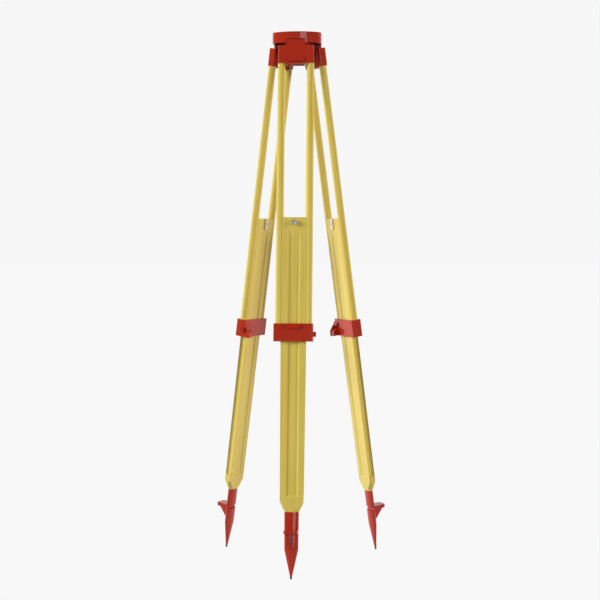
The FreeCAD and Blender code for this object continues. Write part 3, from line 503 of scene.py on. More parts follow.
def add_mix(tree: Tree, factor: Socket, first: object, second: object,
            mixed: Mixed = Mixed.COLOUR) -> Socket:
    """Add a mix of two colours or two values.

    Args:
        tree: The node tree.
        factor: How much of the second.
        first: A constant, or a socket that gives one.
        second: A constant, or a socket that gives one.
        mixed: Whether they are colours or values.

    Returns:
        The mixed colour or value.
    """
    node = tree.nodes.new("ShaderNodeMix")
    node.data_type = "RGBA" if mixed is Mixed.COLOUR else "FLOAT"
    connect(tree, node.inputs["Factor"], factor)
    for label, value in (("A", first), ("B", second)):
        target = next(s for s in node.inputs if s.name == label and s.type == mixed.value)
        connect(tree, target, value)
    return next(s for s in node.outputs if s.type == mixed.value)


def add_math(tree: Tree, operation: str, first: object, second: object) -> Socket:
    """Add one sum of two values.

    Args:
        tree: The node tree.
        operation: The math node's operation.
        first: A number or a socket.
        second: A number or a socket.

    Returns:
        The result.
    """
    node = tree.nodes.new("ShaderNodeMath")
    node.operation = operation
    for index, value in enumerate((first, second)):
        connect(tree, node.inputs[index], value)
    return node.outputs["Value"]


def add_scaled(tree: Tree, vector: Socket, scale: tuple[float, float, float]) -> Socket:
    """Stretch a vector by a different amount along each axis."""
    node = tree.nodes.new("ShaderNodeVectorMath")
    node.operation = "MULTIPLY"
    node.inputs[1].default_value = scale
    tree.links.new(vector, node.inputs[0])
    return node.outputs["Vector"]


@dataclass(frozen=True)
class GrainLayer:
    """One layer of wood grain: its noise, the part of its range that darkens, and how much."""

    scale: float
    detail: float
    along: float
    low: float
    high: float
    share: float
    roughness: float = 0.5


BANDS = GrainLayer(95.0, 3.0, along=0.035, low=0.42, high=0.72, share=0.55, roughness=0.55)
PORES = GrainLayer(620.0, 2.0, along=0.02, low=0.56, high=0.74, share=0.22)
TONE = GrainLayer(9.0, 1.0, along=0.25, low=0.3, high=0.7, share=0.22)

PEEL = (700.0, 1.0)                 # scale and octaves of the noises
WAVES = (90.0, 2.0)
PAINT_TONE = (14.0, 2.0)
RINGS = (1500.0, 2.0)
LINES = (2600.0, 2.0)
STAINS = (70.0, 3.0)

MIDDLE = (0.3, 0.7)                 # where most of a noise's values lie
DEEP_RANGE = (0.35, 0.7)
STAIN_RANGE = (0.45, 0.75)
RUBBED_RANGE = (0.3, 0.75)
PEEL_SHARE = 0.2
LINE_STRETCH = (0.12, 0.12, 1)
PAINT_ROUGHNESS = (0.42, 0.52)
RING_SHADE = (0.82, 1.0)
RING_ROUGHNESS = (0.3, 0.42)
METAL_ROUGHNESS = (0.24, 0.42)


def make_wood_group() -> Tree:
    """Straight grain under varnish: broad bands, fine pores and slow changes of tone."""
    tree, source, sink = new_group("straight_grain", ["Light", "Dark"], ["Height", "Pores"])
    streaks = 0.0
    masks = {}
    for layer in (BANDS, PORES, TONE):
        drawn_out = add_scaled(tree, source.outputs["Vector"], (1, 1, layer.along))
        noise = add_noise(tree, drawn_out, layer.scale, layer.detail, layer.roughness)
        masks[layer] = add_range(tree, noise.outputs["Fac"], layer.low, layer.high)
        streaks = add_math(tree, "ADD", streaks, add_math(tree, "MULTIPLY", masks[layer], layer.share))
    feed(tree, sink, Color=add_mix(tree, streaks, source.outputs["Light"], source.outputs["Dark"]),
         Height=add_math(tree, "SUBTRACT", 1.0, masks[PORES]), Pores=masks[PORES])
    return tree


def make_paint_group() -> Tree:
    """Sprayed gloss paint on a casting: fine orange peel, slow waves and a little change of tone."""
    tree, source, sink = new_group("sprayed_paint", ["Base", "Deep"], ["Height", "Roughness"])
    peel, waves, tone = (add_noise(tree, source.outputs["Vector"], *noise).outputs["Fac"]
                         for noise in (PEEL, WAVES, PAINT_TONE))
    deep = add_range(tree, tone, *DEEP_RANGE)
    height = add_math(tree, "ADD", add_math(tree, "MULTIPLY", peel, PEEL_SHARE), waves)
    feed(tree, sink, Color=add_mix(tree, deep, source.outputs["Base"], source.outputs["Deep"]),
         Height=height, Roughness=add_range(tree, waves, *MIDDLE, *PAINT_ROUGHNESS))
    return tree


def make_turned_group() -> Tree:
    """A face machined on a lathe: fine rings about the Z axis."""
    tree, source, sink = new_group("turned_face", ["Base"], ["Height", "Roughness"])
    flat = tree.nodes.new("ShaderNodeVectorMath")
    flat.operation = "LENGTH"
    tree.links.new(add_scaled(tree, source.outputs["Vector"], (1, 1, 0)), flat.inputs[0])
    noise = tree.nodes.new("ShaderNodeTexNoise")
    noise.noise_dimensions = "1D"
    feed(tree, noise, W=flat.outputs["Value"], Scale=RINGS[0], Detail=RINGS[1])
    rings = noise.outputs["Fac"]
    tint = tree.nodes.new("ShaderNodeVectorMath")
    tint.operation = "SCALE"
    tree.links.new(source.outputs["Base"], tint.inputs[0])
    feed(tree, tint, Scale=add_range(tree, rings, *MIDDLE, *RING_SHADE))
    feed(tree, sink, Color=tint.outputs["Vector"], Height=rings,
         Roughness=add_range(tree, rings, *MIDDLE, *RING_ROUGHNESS))
    return tree


def make_brushed_group() -> Tree:
    """Turned or brushed metal: fine lines along one direction, and slow stains."""
    tree, source, sink = new_group("brushed_metal", ["Base", "Stain"], ["Height", "Roughness"])
    vector = source.outputs["Vector"]
    lines = add_noise(tree, add_scaled(tree, vector, LINE_STRETCH), *LINES).outputs["Fac"]
    stains = add_noise(tree, vector, *STAINS).outputs["Fac"]
    mask = add_range(tree, stains, *STAIN_RANGE)
    feed(tree, sink, Color=add_mix(tree, mask, source.outputs["Base"], source.outputs["Stain"]),
         Height=lines, Roughness=add_range(tree, stains, *RUBBED_RANGE, *METAL_ROUGHNESS))
    return tree


@dataclass
class Palette:
    """The shader groups, each made once."""

    wood: Tree = field(default_factory=make_wood_group)
    paint: Tree = field(default_factory=make_paint_group)
    brushed: Tree = field(default_factory=make_brushed_group)
    turned: Tree = field(default_factory=make_turned_group)


# ---- finishes

def start_material(name: str) -> tuple[Material, Tree, Node]:
    """A material with one Principled shader.

    Args:
        name: The material's name.

    Returns:
        The material, its tree and its shader.
    """
    material = bpy.data.materials.new(name)
    material.use_nodes = True
    tree = material.node_tree
    shader = next(node for node in tree.nodes if node.type == "BSDF_PRINCIPLED")
    return material, tree, shader


def add_object_vector(tree: Tree, turn: Optional[Matrix] = None) -> Socket:
    """Object coordinates, turned into another frame.

    Args:
        tree: The material's tree.
        turn: Matrix from the row frame to the frame wanted.

    Returns:
        The vector socket.
    """
    coordinates = tree.nodes.new("ShaderNodeTexCoord")
    if turn is None:
        return coordinates.outputs["Object"]
    mapping = tree.nodes.new("ShaderNodeMapping")
    feed(tree, mapping, Vector=coordinates.outputs["Object"],
         Location=turn.to_translation(), Rotation=turn.to_euler("XYZ"))
    return mapping.outputs["Vector"]


def add_group(tree: Tree, group: Tree, vector: Socket, **values: object) -> Node:
    """Place a shader group in a material.

    Args:
        tree: The material's tree.
        group: The group.
        vector: What its Vector input reads.
        values: Its other inputs.

    Returns:
        The group's node.
    """
    node = tree.nodes.new("ShaderNodeGroup")
    node.node_tree = group
    feed(tree, node, Vector=vector, **values)
    return node


def add_bump(tree: Tree, height: Socket, strength: float, distance: float) -> Socket:
    """Add a bump of some height in metres and return its normal."""
    bump = tree.nodes.new("ShaderNodeBump")
    feed(tree, bump, Height=height, Strength=strength, Distance=distance)
    return bump.outputs["Normal"]


@dataclass(frozen=True)
class RedPaint:
    """Gloss red paint on a casting, with a machined face where a height is given."""

    base: Colour = (0.485, 0.026, 0.006, 1)
    deep: Colour = (0.45, 0.022, 0.005, 1)
    metal: Colour = (0.68, 0.68, 0.69, 1)
    metallic: float = 0.55
    specular: float = 0.15
    coat: float = 0.85
    coat_roughness: float = 0.06
    bump: float = 0.1
    bump_depth: float = 0.1 * MM
    machined_above: Optional[float] = None

    def make(self, name: str, palette: Palette) -> Material:
        """Build the material.

        Args:
            name: Its name.
            palette: The shared shader groups.

        Returns:
            The material.
        """
        material, tree, shader = start_material(name)
        vector = add_object_vector(tree)
        paint = add_group(tree, palette.paint, vector, Base=self.base, Deep=self.deep)
        colour, roughness, height = (paint.outputs[label] for label in ("Color", "Roughness", "Height"))
        if self.machined_above is not None:
            split = tree.nodes.new("ShaderNodeSeparateXYZ")
            feed(tree, split, Vector=vector)
            bare = add_math(tree, "GREATER_THAN", split.outputs["Z"], self.machined_above)
            turned = add_group(tree, palette.turned, vector, Base=self.metal)
            colour = add_mix(tree, bare, colour, turned.outputs["Color"])
            roughness = add_mix(tree, bare, roughness, turned.outputs["Roughness"], Mixed.VALUE)
            height = add_mix(tree, bare, height, turned.outputs["Height"], Mixed.VALUE)
            feed(tree, shader, Metallic=add_math(tree, "MULTIPLY", bare, self.metallic))
        feed(tree, shader, Base_Color=colour, Roughness=roughness, Specular_IOR_Level=self.specular,
             Normal=add_bump(tree, height, self.bump, self.bump_depth),
             Coat_Weight=self.coat, Coat_Roughness=self.coat_roughness)
        return material


@dataclass(frozen=True)
class Varnish:
    """Clear yellow varnish on straight-grained wood."""

    light: Colour = (0.80, 0.64, 0.13, 1)
    dark: Colour = (0.68, 0.49, 0.075, 1)
    roughness: tuple[float, float] = (0.34, 0.46)
    specular: float = 0.2
    coat: float = 0.8
    coat_roughness: float = 0.16
    bump: float = 0.2
    bump_depth: float = 0.08 * MM

    def make(self, name: str, palette: Palette, turn: Matrix) -> Material:
        """Build the material.

        Args:
            name: Its name.
            palette: The shared shader groups.
            turn: Matrix from the row frame to the leg frame, whose Z the grain follows.

        Returns:
            The material.
        """
        material, tree, shader = start_material(name)
        wood = add_group(tree, palette.wood, add_object_vector(tree, turn), Light=self.light, Dark=self.dark)
        feed(tree, shader, Base_Color=wood.outputs["Color"], Specular_IOR_Level=self.specular,
             Roughness=add_range(tree, wood.outputs["Pores"], 0.0, 1.0, *self.roughness),
             Normal=add_bump(tree, wood.outputs["Height"], self.bump, self.bump_depth),
             Coat_Weight=self.coat, Coat_Roughness=self.coat_roughness)
        return material


@dataclass(frozen=True)
class BareMetal:
    """A machined, bare or plated metal."""

    base: Colour
    stain: Colour
    bump: float = 0.12
    bump_depth: float = 0.1 * MM
    metallic: float = 1.0

    def make(self, name: str, palette: Palette) -> Material:
        """Build the material.

        Args:
            name: Its name.
            palette: The shared shader groups.

        Returns:
            The material.
        """
        material, tree, shader = start_material(name)
        metal = add_group(tree, palette.brushed, add_object_vector(tree), Base=self.base, Stain=self.stain)
        feed(tree, shader, Base_Color=metal.outputs["Color"], Roughness=metal.outputs["Roughness"],
             Normal=add_bump(tree, metal.outputs["Height"], self.bump, self.bump_depth),
             Metallic=self.metallic)
        return material


@dataclass(frozen=True)
class MouldedPlastic:
    """A moulded plastic with a fine grain."""

    base: Colour
    deep: Colour
    roughness: float = 0.5
    bump: float = 0.5
    bump_depth: float = 0.2 * MM

    def make(self, name: str, palette: Palette) -> Material:
        """Build the material.

        Args:
            name: Its name.
            palette: The shared shader groups.

        Returns:
            The material.
        """
        material, tree, shader = start_material(name)
        paint = add_group(tree, palette.paint, add_object_vector(tree), Base=self.base, Deep=self.deep)
        feed(tree, shader, Base_Color=paint.outputs["Color"], Roughness=self.roughness,
             Normal=add_bump(tree, paint.outputs["Height"], self.bump, self.bump_depth))
        return material


@dataclass
class Finishes:
    """Every material of the tripod."""

    palette: Palette = field(default_factory=Palette)
    wood: dict[Leg, Material] = field(default_factory=dict)
    by_slot: dict[str, Material] = field(default_factory=dict)
    head_paint: Optional[Material] = None
    oiled_steel: Optional[Material] = None

    def make(self) -> "Finishes":
        """Build all the materials and return self."""
        for leg in Leg:
            self.wood[leg] = Varnish().make("varnished_wood_" + leg.value, self.palette,
                                            leg_matrix(leg).inverted())
        looks = {
            "red_paint": RedPaint(),
            "bright_steel": BareMetal((0.66, 0.67, 0.70, 1), (0.54, 0.55, 0.58, 1), metallic=0.6),
            "dark_steel": BareMetal((0.11, 0.11, 0.12, 1), (0.07, 0.065, 0.065, 1)),
            "brass": BareMetal((0.72, 0.50, 0.20, 1), (0.50, 0.34, 0.13, 1)),
            "black_plastic": MouldedPlastic((0.022, 0.022, 0.024, 1), (0.016, 0.016, 0.017, 1)),
            "bearing_plastic": MouldedPlastic((0.88, 0.87, 0.80, 1), (0.84, 0.83, 0.75, 1)),
        }
        for slot, look in looks.items():
            self.by_slot[slot] = look.make(slot, self.palette)
        self.head_paint = RedPaint(machined_above=-0.05 * MM).make("red_paint_machined_top", self.palette)
        oiled = BareMetal((0.30, 0.24, 0.22, 1), (0.20, 0.14, 0.12, 1))
        self.oiled_steel = oiled.make("oiled_steel", self.palette)
        return self

    def for_slot(self, slot: str, leg: Optional[Leg]) -> Material:
        """The material of one of the record's slots, on one leg where it is wood."""
        return self.wood[leg] if slot == "varnished_wood" else self.by_slot[slot]


# ---- dressing

def leg_of(name: str) -> Optional[Leg]:
    """The leg that a node belongs to, or None for the head's nodes."""
    return next((leg for leg in Leg if name.startswith(leg.value + "_")), None)


@dataclass
class Dresser:
    """Gives nodes and pieces their bodies, slots and materials."""

    finishes: Finishes

    def slots(self) -> dict[str, str]:
        """Node to material slot, from the record."""
        return {part["node"]: part["material_slot"] for part in frame["record"]["subparts"]}

    def dress_nodes(self) -> None:
        """Give every CAD node its finish."""
        for name, slot in self.slots().items():
            material = self.finishes.for_slot(slot, leg_of(name))
            if name == "head_casting":
                material = self.finishes.head_paint
            mesh = frame["nodes"][name].data
            mesh.materials.clear()
            mesh.materials.append(material)

    def dress(self, piece: Piece, node: str, finish: Optional[Material] = None) -> None:
        """Make a piece ride like a node and look like it, in the node's place.

        Args:
            piece: A finished mesh object at its place.
            node: The CAD node that it replaces, and whose body and slot it takes.
            finish: A finish in place of the slot's own.
        """
        body = frame["nodes"][node]["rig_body"]
        slot = self.slots()[node]
        piece.data.materials.clear()
        piece.data.materials.append(finish or self.finishes.for_slot(slot, leg_of(node)))
        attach(piece, body)
        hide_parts(node)
        LOG.info("%s rides on %s in %s, %d faces", piece.name, body, slot, len(piece.data.polygons))

    def dress_legs(self, front: Piece, node: str, frame_of: Callable[[Leg], Matrix],
                   finish: Optional[Material] = None, suffix: str = "_look") -> None:
        """Put a finished front leg's piece on all three legs, in place of its node.

        Args:
            front: The front leg's piece, at its place.
            node: The node's name without the leg.
            frame_of: The frame that the copies turn with.
            finish: A finish in place of the slot's own.
            suffix: What the copies' names end with.
        """
        home = frame_of(Leg.FRONT).inverted()
        for leg in Leg:
            full = leg.value + "_" + node
            piece = front if leg is Leg.FRONT else copy_piece(front, full + suffix, frame_of(leg) @ home)
            self.dress(piece, full, finish)


@dataclass(frozen=True)
class Fitting:
    """Pieces that are modelled together, and what dresses them."""

    dresser: Dresser


@dataclass(frozen=True)
class SoftenedNode(Fitting):
    """A leg node's rounded edges, modelled once and copied to every leg."""

    node: str
    width: float
    segments: int = 3

    def build(self) -> None:
        """Round the front leg's node and copy it to the other two legs."""
        node = Leg.FRONT.value + "_" + self.node
        front = node_copy(node, node + "_soft")
        round_edges(front, self.width, self.segments)
        self.dresser.dress_legs(front, self.node, leg_matrix, suffix="_soft")


@dataclass(frozen=True)
class HingeFastener(Fitting):
    """The hinge bolt with its socket head and threaded tail, and its chamfered nut."""

    pin_radius: float = 4.0 * MM
    head_height: float = 2.8 * MM
    socket_flats: float = 5.0 * MM
    socket_depth: float = 1.9 * MM
    pitch: float = 1.25 * MM
    rim: float = 0.9 * MM
    thread_inside: float = 1.0 * MM
    runout: float = 0.5 * MM
    core_edge: float = 0.2 * MM
    nut_flats: float = 13.0 * MM
    nut_chamfer: float = 0.5 * MM
    nut_edge: float = 0.15 * MM

    def build(self) -> None:
        """Model both on the front leg and copy them."""
        home = hinge_matrix(Leg.FRONT)
        low, high = node_box("front_hinge_bolt", home)
        nut_low, nut_high = node_box("front_hinge_nut", home)
        shoulder = low.x + self.head_height
        root = self.pin_radius - THREAD_DEPTH * self.pitch
        thread_start = nut_low.x + self.thread_inside
        bolt = turned("front_hinge_bolt_look", [
            *rounded_end(high.y, low.x, self.rim, rising=False), (high.y, shoulder),
            (self.pin_radius, shoulder), (self.pin_radius, thread_start),
            (root, thread_start + self.runout), (root, high.x - self.core_edge),
            (root - self.core_edge, high.x)])
        socket = hexagon("socket", self.socket_flats, low.x - CUT_PAST, low.x + self.socket_depth)
        combine(bolt, socket, "DIFFERENCE")
        tail = thread("tail", self.pin_radius, self.pitch, thread_start, high.x)
        bolt = join([bolt, tail])
        smooth(bolt)
        place(bolt, home @ TO_X)
        self.dresser.dress_legs(bolt, "hinge_bolt", hinge_matrix, self.dresser.finishes.oiled_steel)
        across = self.nut_flats / math.sqrt(3)
        chamfer = self.nut_chamfer
        nut = hexagon("front_hinge_nut_look", self.nut_flats, nut_low.x, nut_high.x)
        waist = turned("waist", [(across - 2 * chamfer, nut_low.x), (across, nut_low.x + chamfer),
                                 (across, nut_high.x - chamfer), (across - 2 * chamfer, nut_high.x)])
        combine(nut, waist, "INTERSECT")
        combine(nut, drill("bore", self.pin_radius, nut_low.x, nut_high.x), "DIFFERENCE")
        apply_modifier(nut, "BEVEL", width=self.nut_edge, segments=2, limit_method="ANGLE")
        smooth(nut)
        place(nut, home @ TO_X)
        self.dresser.dress_legs(nut, "hinge_nut", hinge_matrix)


@dataclass(frozen=True)
class ClampScrew(Fitting):
    """The clamp's screw: a round socket head, a plain shank and a turned tip."""

    shank_radius: float = 3.5 * MM
    head_height: float = 7.4 * MM
    rim: float = 1.2 * MM
    socket_flats: float = 6.0 * MM
    socket_depth: float = 2.4 * MM
    lead_in: float = 0.6 * MM
    tip: float = 0.8 * MM
    under_edge: float = 0.4 * MM

    def build(self) -> None:
        """Model it on the front leg and copy it."""
        home = leg_matrix(Leg.FRONT)
        low, high = node_box("front_clamp_screw", home)
        centre = (low + high) / 2
        radius = (high.y - low.y) / 2
        under = high.x - self.head_height
        screw = turned("front_clamp_screw_look", [
            (self.shank_radius - self.tip, low.x), (self.shank_radius, low.x + self.tip),
            (self.shank_radius, under), (radius - self.under_edge, under),
            (radius, under + self.under_edge),
            *rounded_end(radius, high.x, self.rim)])
        corner = self.socket_flats / math.sqrt(3)
        socket = hexagon("socket", self.socket_flats, high.x - self.socket_depth, high.x + CUT_PAST)
        combine(screw, socket, "DIFFERENCE")
        cone = turned("cone", [(corner - self.lead_in, high.x - 2 * self.lead_in),
                               (corner + 2 * self.lead_in, high.x + self.lead_in)])
        combine(screw, cone, "DIFFERENCE")
        smooth(screw, degrees=40.0)
        place(screw, home @ Matrix.Translation((0, centre.y, centre.z)) @ TO_X)
        self.dresser.dress_legs(screw, "clamp_screw", leg_matrix)


@dataclass(frozen=True)
class BoardStop(Fitting):
    """The stop at the board's top end: a block with worn edges and a round-headed bolt."""

    bolt_radius: float = 3.0 * MM
    head_height: float = 8.0 * MM
    head_round: float = 1.5 * MM
    under_edge: float = 0.3 * MM
    under_gap: float = 0.2 * MM
    edge: float = 0.6 * MM

    def build(self) -> None:
        """Model both on the front leg and copy them."""
        home = leg_matrix(Leg.FRONT)
        low, high = node_box("front_stop_bolt", home)
        block_low, block_high = node_box("front_stop_block", home)
        centre = (low + high) / 2
        radius = (high.x - low.x) / 2
        face = low.y + self.head_height
        bolt = turned("front_stop_bolt_look", [
            (self.bolt_radius, -high.y), (self.bolt_radius, -face - self.under_gap),
            (radius - self.under_edge, -face), (radius, -face + self.under_edge),
            *rounded_end(radius, -low.y, self.head_round)])
        smooth(bolt, degrees=40.0)
        place(bolt, home @ Matrix.Translation((0, 0, centre.z)) @ TO_MINUS_Y)
        self.dresser.dress_legs(bolt, "stop_bolt", leg_matrix)
        deselect()
        bpy.ops.mesh.primitive_cube_add(size=1.0)
        block = take_up("front_stop_block_look")
        size = block_high - block_low
        place(block, Matrix.Translation((block_low + block_high) / 2) @ Matrix.Diagonal((*size, 1)))
        hole = drill("hole", self.bolt_radius, -block_high.y, -block_low.y)
        place(hole, Matrix.Translation((0, 0, centre.z)) @ TO_MINUS_Y)
        combine(block, hole, "DIFFERENCE")
        round_edges(block, self.edge)
        place(block, home)
        self.dresser.dress_legs(block, "stop_block", leg_matrix)


@dataclass(frozen=True)
class ShoeIron(Fitting):
    """The shoe's peened rivets and its turned steel point."""

    rivet_radius: float = 2.5 * MM
    dome: float = 0.35 * MM
    shank_radius: float = 2.0 * MM
    point_length: float = 10.0 * MM
    tip_length: float = 3.0 * MM
    tip_radius: float = 1.0 * MM
    tip_rounding: tuple[tuple[float, float], ...] = ((0.5, 0.0), (0.85, 0.2 * MM), (1.0, 0.5 * MM))

    def build(self) -> None:
        """Model both on the front leg and copy them."""
        home = leg_matrix(Leg.FRONT)
        low, high = node_box("front_shoe_rivets", home)
        rivets = []
        for height in (low.z + self.rivet_radius, high.z - self.rivet_radius):
            rivet = turned("front_shoe_rivets_look", [
                *rounded_end(self.rivet_radius, low.x, self.dome, rising=False),
                *rounded_end(self.rivet_radius, high.x, self.dome)], sides=32)
            rivets.append(place(rivet, home @ Matrix.Translation((0, 0, height)) @ TO_X))
        rivets = join(rivets)
        smooth(rivets)
        self.dresser.dress_legs(rivets, "shoe_rivets", leg_matrix)
        low, high = node_box("front_point", home)
        radius = (high.x - low.x) / 2
        shoulder = low.z + self.point_length
        nib = turned("front_point_look", [
            *((self.tip_radius * share, low.z + rise) for share, rise in self.tip_rounding),
            (radius, low.z + self.tip_length),
            (radius, shoulder), (self.shank_radius, shoulder), (self.shank_radius, high.z)], sides=40)
        smooth(nib)
        place(nib, home)
        self.dresser.dress_legs(nib, "point", leg_matrix)


@dataclass(frozen=True)
class FixingScrew(Fitting):
    """The five-eighths-inch screw with its rolled thread, hung by a groove on the retaining ring."""

    pitch: float = 25.4 / 11 * MM       # eleven threads to the inch
    chamfer: float = 1.5 * MM
    ring_play: float = 0.05 * MM
    runout: float = 0.2 * MM
    groove_radius: float = 6.9 * MM
    groove_height: float = 1.6 * MM
    collar: float = 1.0 * MM            # plain length between the groove and the thread

    def build(self) -> None:
        """Thread the screw above its groove and leave the rest plain."""
        low, high = node_box("fixing_screw", NO_MOVE)
        ring_low, _ = node_box("retaining_ring", NO_MOVE)
        radius = (high.x - low.x) / 2
        groove = ring_low.z - self.ring_play
        thread_start = groove + self.groove_height + self.collar
        plain = turned("fixing_screw_look", [
            (radius, low.z), (radius, groove), (self.groove_radius, groove),
            (self.groove_radius, groove + self.groove_height), (radius, groove + self.groove_height),
            (radius, thread_start), (radius - self.chamfer, thread_start + self.runout)])
        ridge = thread("ridge", radius, self.pitch, thread_start, high.z)
        wide = radius + CUT_PAST
        limit = turned("limit", [
            (wide, thread_start - CUT_PAST), (wide, high.z - self.chamfer - CUT_PAST),
            (radius - self.chamfer, high.z)])
        combine(ridge, limit, "INTERSECT")
        screw = join([plain, ridge])
        smooth(screw, degrees=30.0)
        self.dresser.dress(screw, "fixing_screw")


@dataclass(frozen=True)
class Head(Fitting):
    """The head's casting and the pieces of the screw's carriage."""

    roundings: tuple[tuple[str, float], ...] = (
        ("head_casting", 0.8 * MM), ("screw_grip", 0.6 * MM),
        ("screw_bushing", 0.3 * MM), ("bushing_keeper", 0.3 * MM))

    def build(self) -> None:
        """Round the pieces' edges."""
        for node, rounding in self.roundings:
            piece = node_copy(node, node + "_soft")
            round_edges(piece, rounding)
            paint = self.dresser.finishes.head_paint if node == "head_casting" else None
            self.dresser.dress(piece, node, paint)


# ---- room, light and camera

def direction(azimuth: float, elevation: float) -> Vector:
    """A unit vector towards a place in the sky, from angles in degrees."""
    turn = math.radians(azimuth)
    rise = math.radians(elevation)
    return Vector((math.cos(turn) * math.cos(rise), math.sin(turn) * math.cos(rise), math.sin(rise)))


def add_object(name: str, data: bpy.types.ID) -> Piece:
    """Put a lamp or a camera in the scene."""
    item = bpy.data.objects.new(name, data)
    bpy.context.scene.collection.objects.link(item)
    return item


@dataclass(frozen=True)
class SkyLamp:
    """A wide soft light from far away, the same over the whole part, that gloss doesn't show.

    Its place and spread are in degrees, from +X towards +Y, and its level is how bright it
    makes a white face that is turned to it.
    """

    name: str
    azimuth: float
    elevation: float
    spread: float
    level: float
    tint: tuple[float, float, float] = (1.0, 1.0, 1.0)

    def build(self) -> None:
        """Light the scene with it."""
        data = bpy.data.lights.new(self.name, "SUN")
        data.energy = self.level * math.pi
        data.angle = math.radians(self.spread)
        data.color = self.tint
        lamp = add_object(self.name, data)
        lamp.rotation_euler = direction(self.azimuth, self.elevation).to_track_quat("Z", "Y").to_euler()
        lamp.visible_glossy = False


@dataclass(frozen=True)
class SoftBox:
    """A rectangular soft box that gloss shows, turned to the middle of the part."""

    name: str
    azimuth: float
    height: float
    distance: float
    width: float
    length: float
    power: float

    def build(self) -> None:
        """Light the scene with it."""
        data = bpy.data.lights.new(self.name, "AREA")
        data.shape = "RECTANGLE"
        data.size, data.size_y = self.width, self.length
        data.energy = self.power
        lamp = add_object(self.name, data)
        lamp.location = direction(self.azimuth, 0) * self.distance + UP * self.height
        target = UP * (CAD_BOX[0][2] / 2)
        lamp.rotation_euler = (target - lamp.location).to_track_quat("-Z", "Y").to_euler()
        lamp.visible_camera = False


@dataclass(frozen=True)
class Camera:
    """The camera, level with the middle of the legs and a little to the right of the front leg."""

    distance: float = 4.2354
    height: float = -0.5965
    azimuth: float = -85.906
    pitch: float = -2.63
    pan: float = 0.093
    lens: float = 84.785
    sensor: float = 36.0
    reach: float = 200.0

    def build(self) -> None:
        """Stand it in the scene and look through it."""
        away = direction(self.azimuth, 0)
        pan = math.radians(self.pan)
        pitch = math.radians(self.pitch)
        level = -away * math.cos(pan) - away.cross(UP) * math.sin(pan)
        forward = level * math.cos(pitch) + UP * math.sin(pitch)
        side = forward.cross(UP).normalized()
        up = side.cross(forward).normalized()
        data = bpy.data.cameras.new("camera")
        data.lens = self.lens
        data.sensor_width = self.sensor
        data.clip_end = self.reach
        camera = add_object("camera", data)
        stand = Matrix.Translation(away * self.distance + UP * self.height)
        camera.matrix_world = stand @ Matrix((side, up, -forward)).transposed().to_4x4()
        bpy.context.scene.camera = camera


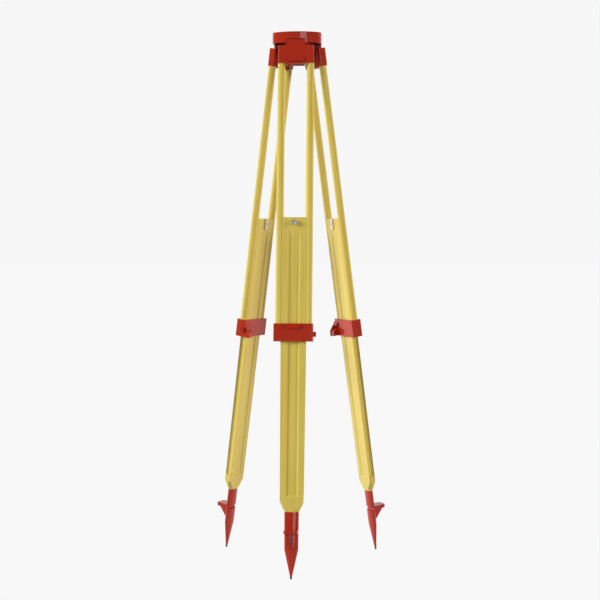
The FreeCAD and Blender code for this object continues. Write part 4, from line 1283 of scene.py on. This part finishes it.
@dataclass
class Studio:
    """A pale floor and a white backdrop, dim where gloss would show them before the part."""

    floor_size: float = 90.0
    floor_colour: Colour = (0.3, 0.3, 0.3, 1)
    floor_roughness: float = 0.9
    floor_specular: float = 0.1
    floor_glow: float = 0.99
    floor_seen: float = 0.93
    floor_behind: float = 0.94
    floor_turn: tuple[float, float] = (-1.2, 0.8)       # metres in Y over which it brightens
    white: float = 0.93
    ambient: float = 0.06
    dim_front: float = 0.16
    world_turn: tuple[float, float] = (-0.15, 0.2)      # shares of a direction's Y
    dim_rise: tuple[float, float] = (0.35, 0.55)        # shares of a direction's Z
    dim_above: float = 0.2
    lamps: tuple[SkyLamp | SoftBox, ...] = (
        SkyLamp("key", azimuth=197.0, elevation=20.0, spread=22.0, level=1.03),
        SkyLamp("fill", azimuth=-15.0, elevation=16.0, spread=20.0, level=0.57, tint=(1.0, 0.93, 0.84)),
        SkyLamp("back", azimuth=85.0, elevation=30.0, spread=20.0, level=0.5),
        SoftBox("soft_box", azimuth=-71.5, height=-0.2, distance=4.6, width=1.6, length=2.1, power=28.0))

    def gloss_rays(self, tree: Tree) -> tuple[Socket, Socket]:
        """Whether a ray comes from the camera, and whether it comes from a mirror or a lens."""
        path = tree.nodes.new("ShaderNodeLightPath")
        return path.outputs["Is Camera Ray"], add_math(
            tree, "MAXIMUM", path.outputs["Is Glossy Ray"], path.outputs["Is Transmission Ray"])

    def floor(self) -> None:
        """A level pale floor under the feet, seen nearly white and still holding the shadow."""
        deselect()
        bpy.ops.mesh.primitive_plane_add(size=self.floor_size, location=(0, 0, CAD_BOX[0][2]))
        ground = bpy.context.object
        ground.name = "studio_floor"
        material, tree, shader = start_material("pale_floor")
        feed(tree, shader, Base_Color=self.floor_colour, Roughness=self.floor_roughness,
             Specular_IOR_Level=self.floor_specular)
        glow = tree.nodes.new("ShaderNodeEmission")
        feed(tree, glow, Strength=self.floor_glow)
        split = tree.nodes.new("ShaderNodeSeparateXYZ")
        feed(tree, split, Vector=add_object_vector(tree))
        behind = add_range(tree, split.outputs["Y"], *self.floor_turn, self.dim_front, self.floor_behind)
        camera_ray, mirrored = self.gloss_rays(tree)
        seen = add_math(tree, "MULTIPLY", camera_ray, self.floor_seen)
        share = add_math(tree, "MAXIMUM", seen, add_math(tree, "MULTIPLY", mirrored, behind))
        blend = tree.nodes.new("ShaderNodeMixShader")
        for index, socket in enumerate((share, shader.outputs[0], glow.outputs[0])):
            tree.links.new(socket, blend.inputs[index])
        output = next(node for node in tree.nodes if node.type == "OUTPUT_MATERIAL")
        feed(tree, output, Surface=blend.outputs[0])
        ground.data.materials.append(material)

    def world(self) -> None:
        """A white backdrop all round to the eye and behind the part in its gloss, dim as a light."""
        world = bpy.data.worlds.new("studio_world")
        bpy.context.scene.world = world
        world.use_nodes = True
        tree = world.node_tree
        tree.nodes.clear()
        output = tree.nodes.new("ShaderNodeOutputWorld")
        light = tree.nodes.new("ShaderNodeBackground")
        coordinates = tree.nodes.new("ShaderNodeTexCoord")
        split = tree.nodes.new("ShaderNodeSeparateXYZ")
        feed(tree, split, Vector=coordinates.outputs["Generated"])
        backdrop = add_range(tree, split.outputs["Y"], *self.world_turn, self.dim_front, self.white)
        low_down = add_range(tree, split.outputs["Z"], *self.dim_rise, 1.0, self.dim_above)
        backdrop = add_math(tree, "MULTIPLY", backdrop, low_down)
        camera_ray, mirrored = self.gloss_rays(tree)
        strength = add_mix(tree, mirrored, self.ambient, backdrop, Mixed.VALUE)
        feed(tree, light, Color=(1, 1, 1, 1),
             Strength=add_mix(tree, camera_ray, strength, self.white, Mixed.VALUE))
        feed(tree, output, Surface=light.outputs[0])

    def build(self) -> None:
        """Set up the room, the lamps and the camera."""
        bpy.context.scene.view_settings.view_transform = "Standard"
        self.floor()
        self.world()
        for lamp in self.lamps:
            lamp.build()
        Camera().build()


def main() -> None:
    """Build the tripod's looks and the studio round it."""
    finishes = Finishes().make()
    dresser = Dresser(finishes)
    dresser.dress_nodes()
    fittings = (
        Head(dresser), SoftenedNode(dresser, "hinge_casting", 0.9 * MM),
        SoftenedNode(dresser, "clamp_casting", 0.8 * MM), SoftenedNode(dresser, "clamp_lever", 0.7 * MM),
        SoftenedNode(dresser, "shoe", 0.7 * MM), SoftenedNode(dresser, "board", 0.6 * MM, segments=2),
        HingeFastener(dresser), ClampScrew(dresser), BoardStop(dresser), ShoeIron(dresser),
        FixingScrew(dresser))
    for fitting in fittings:
        fitting.build()
    Studio().build()
    deselect()


if __name__ == "__main__":
    main()
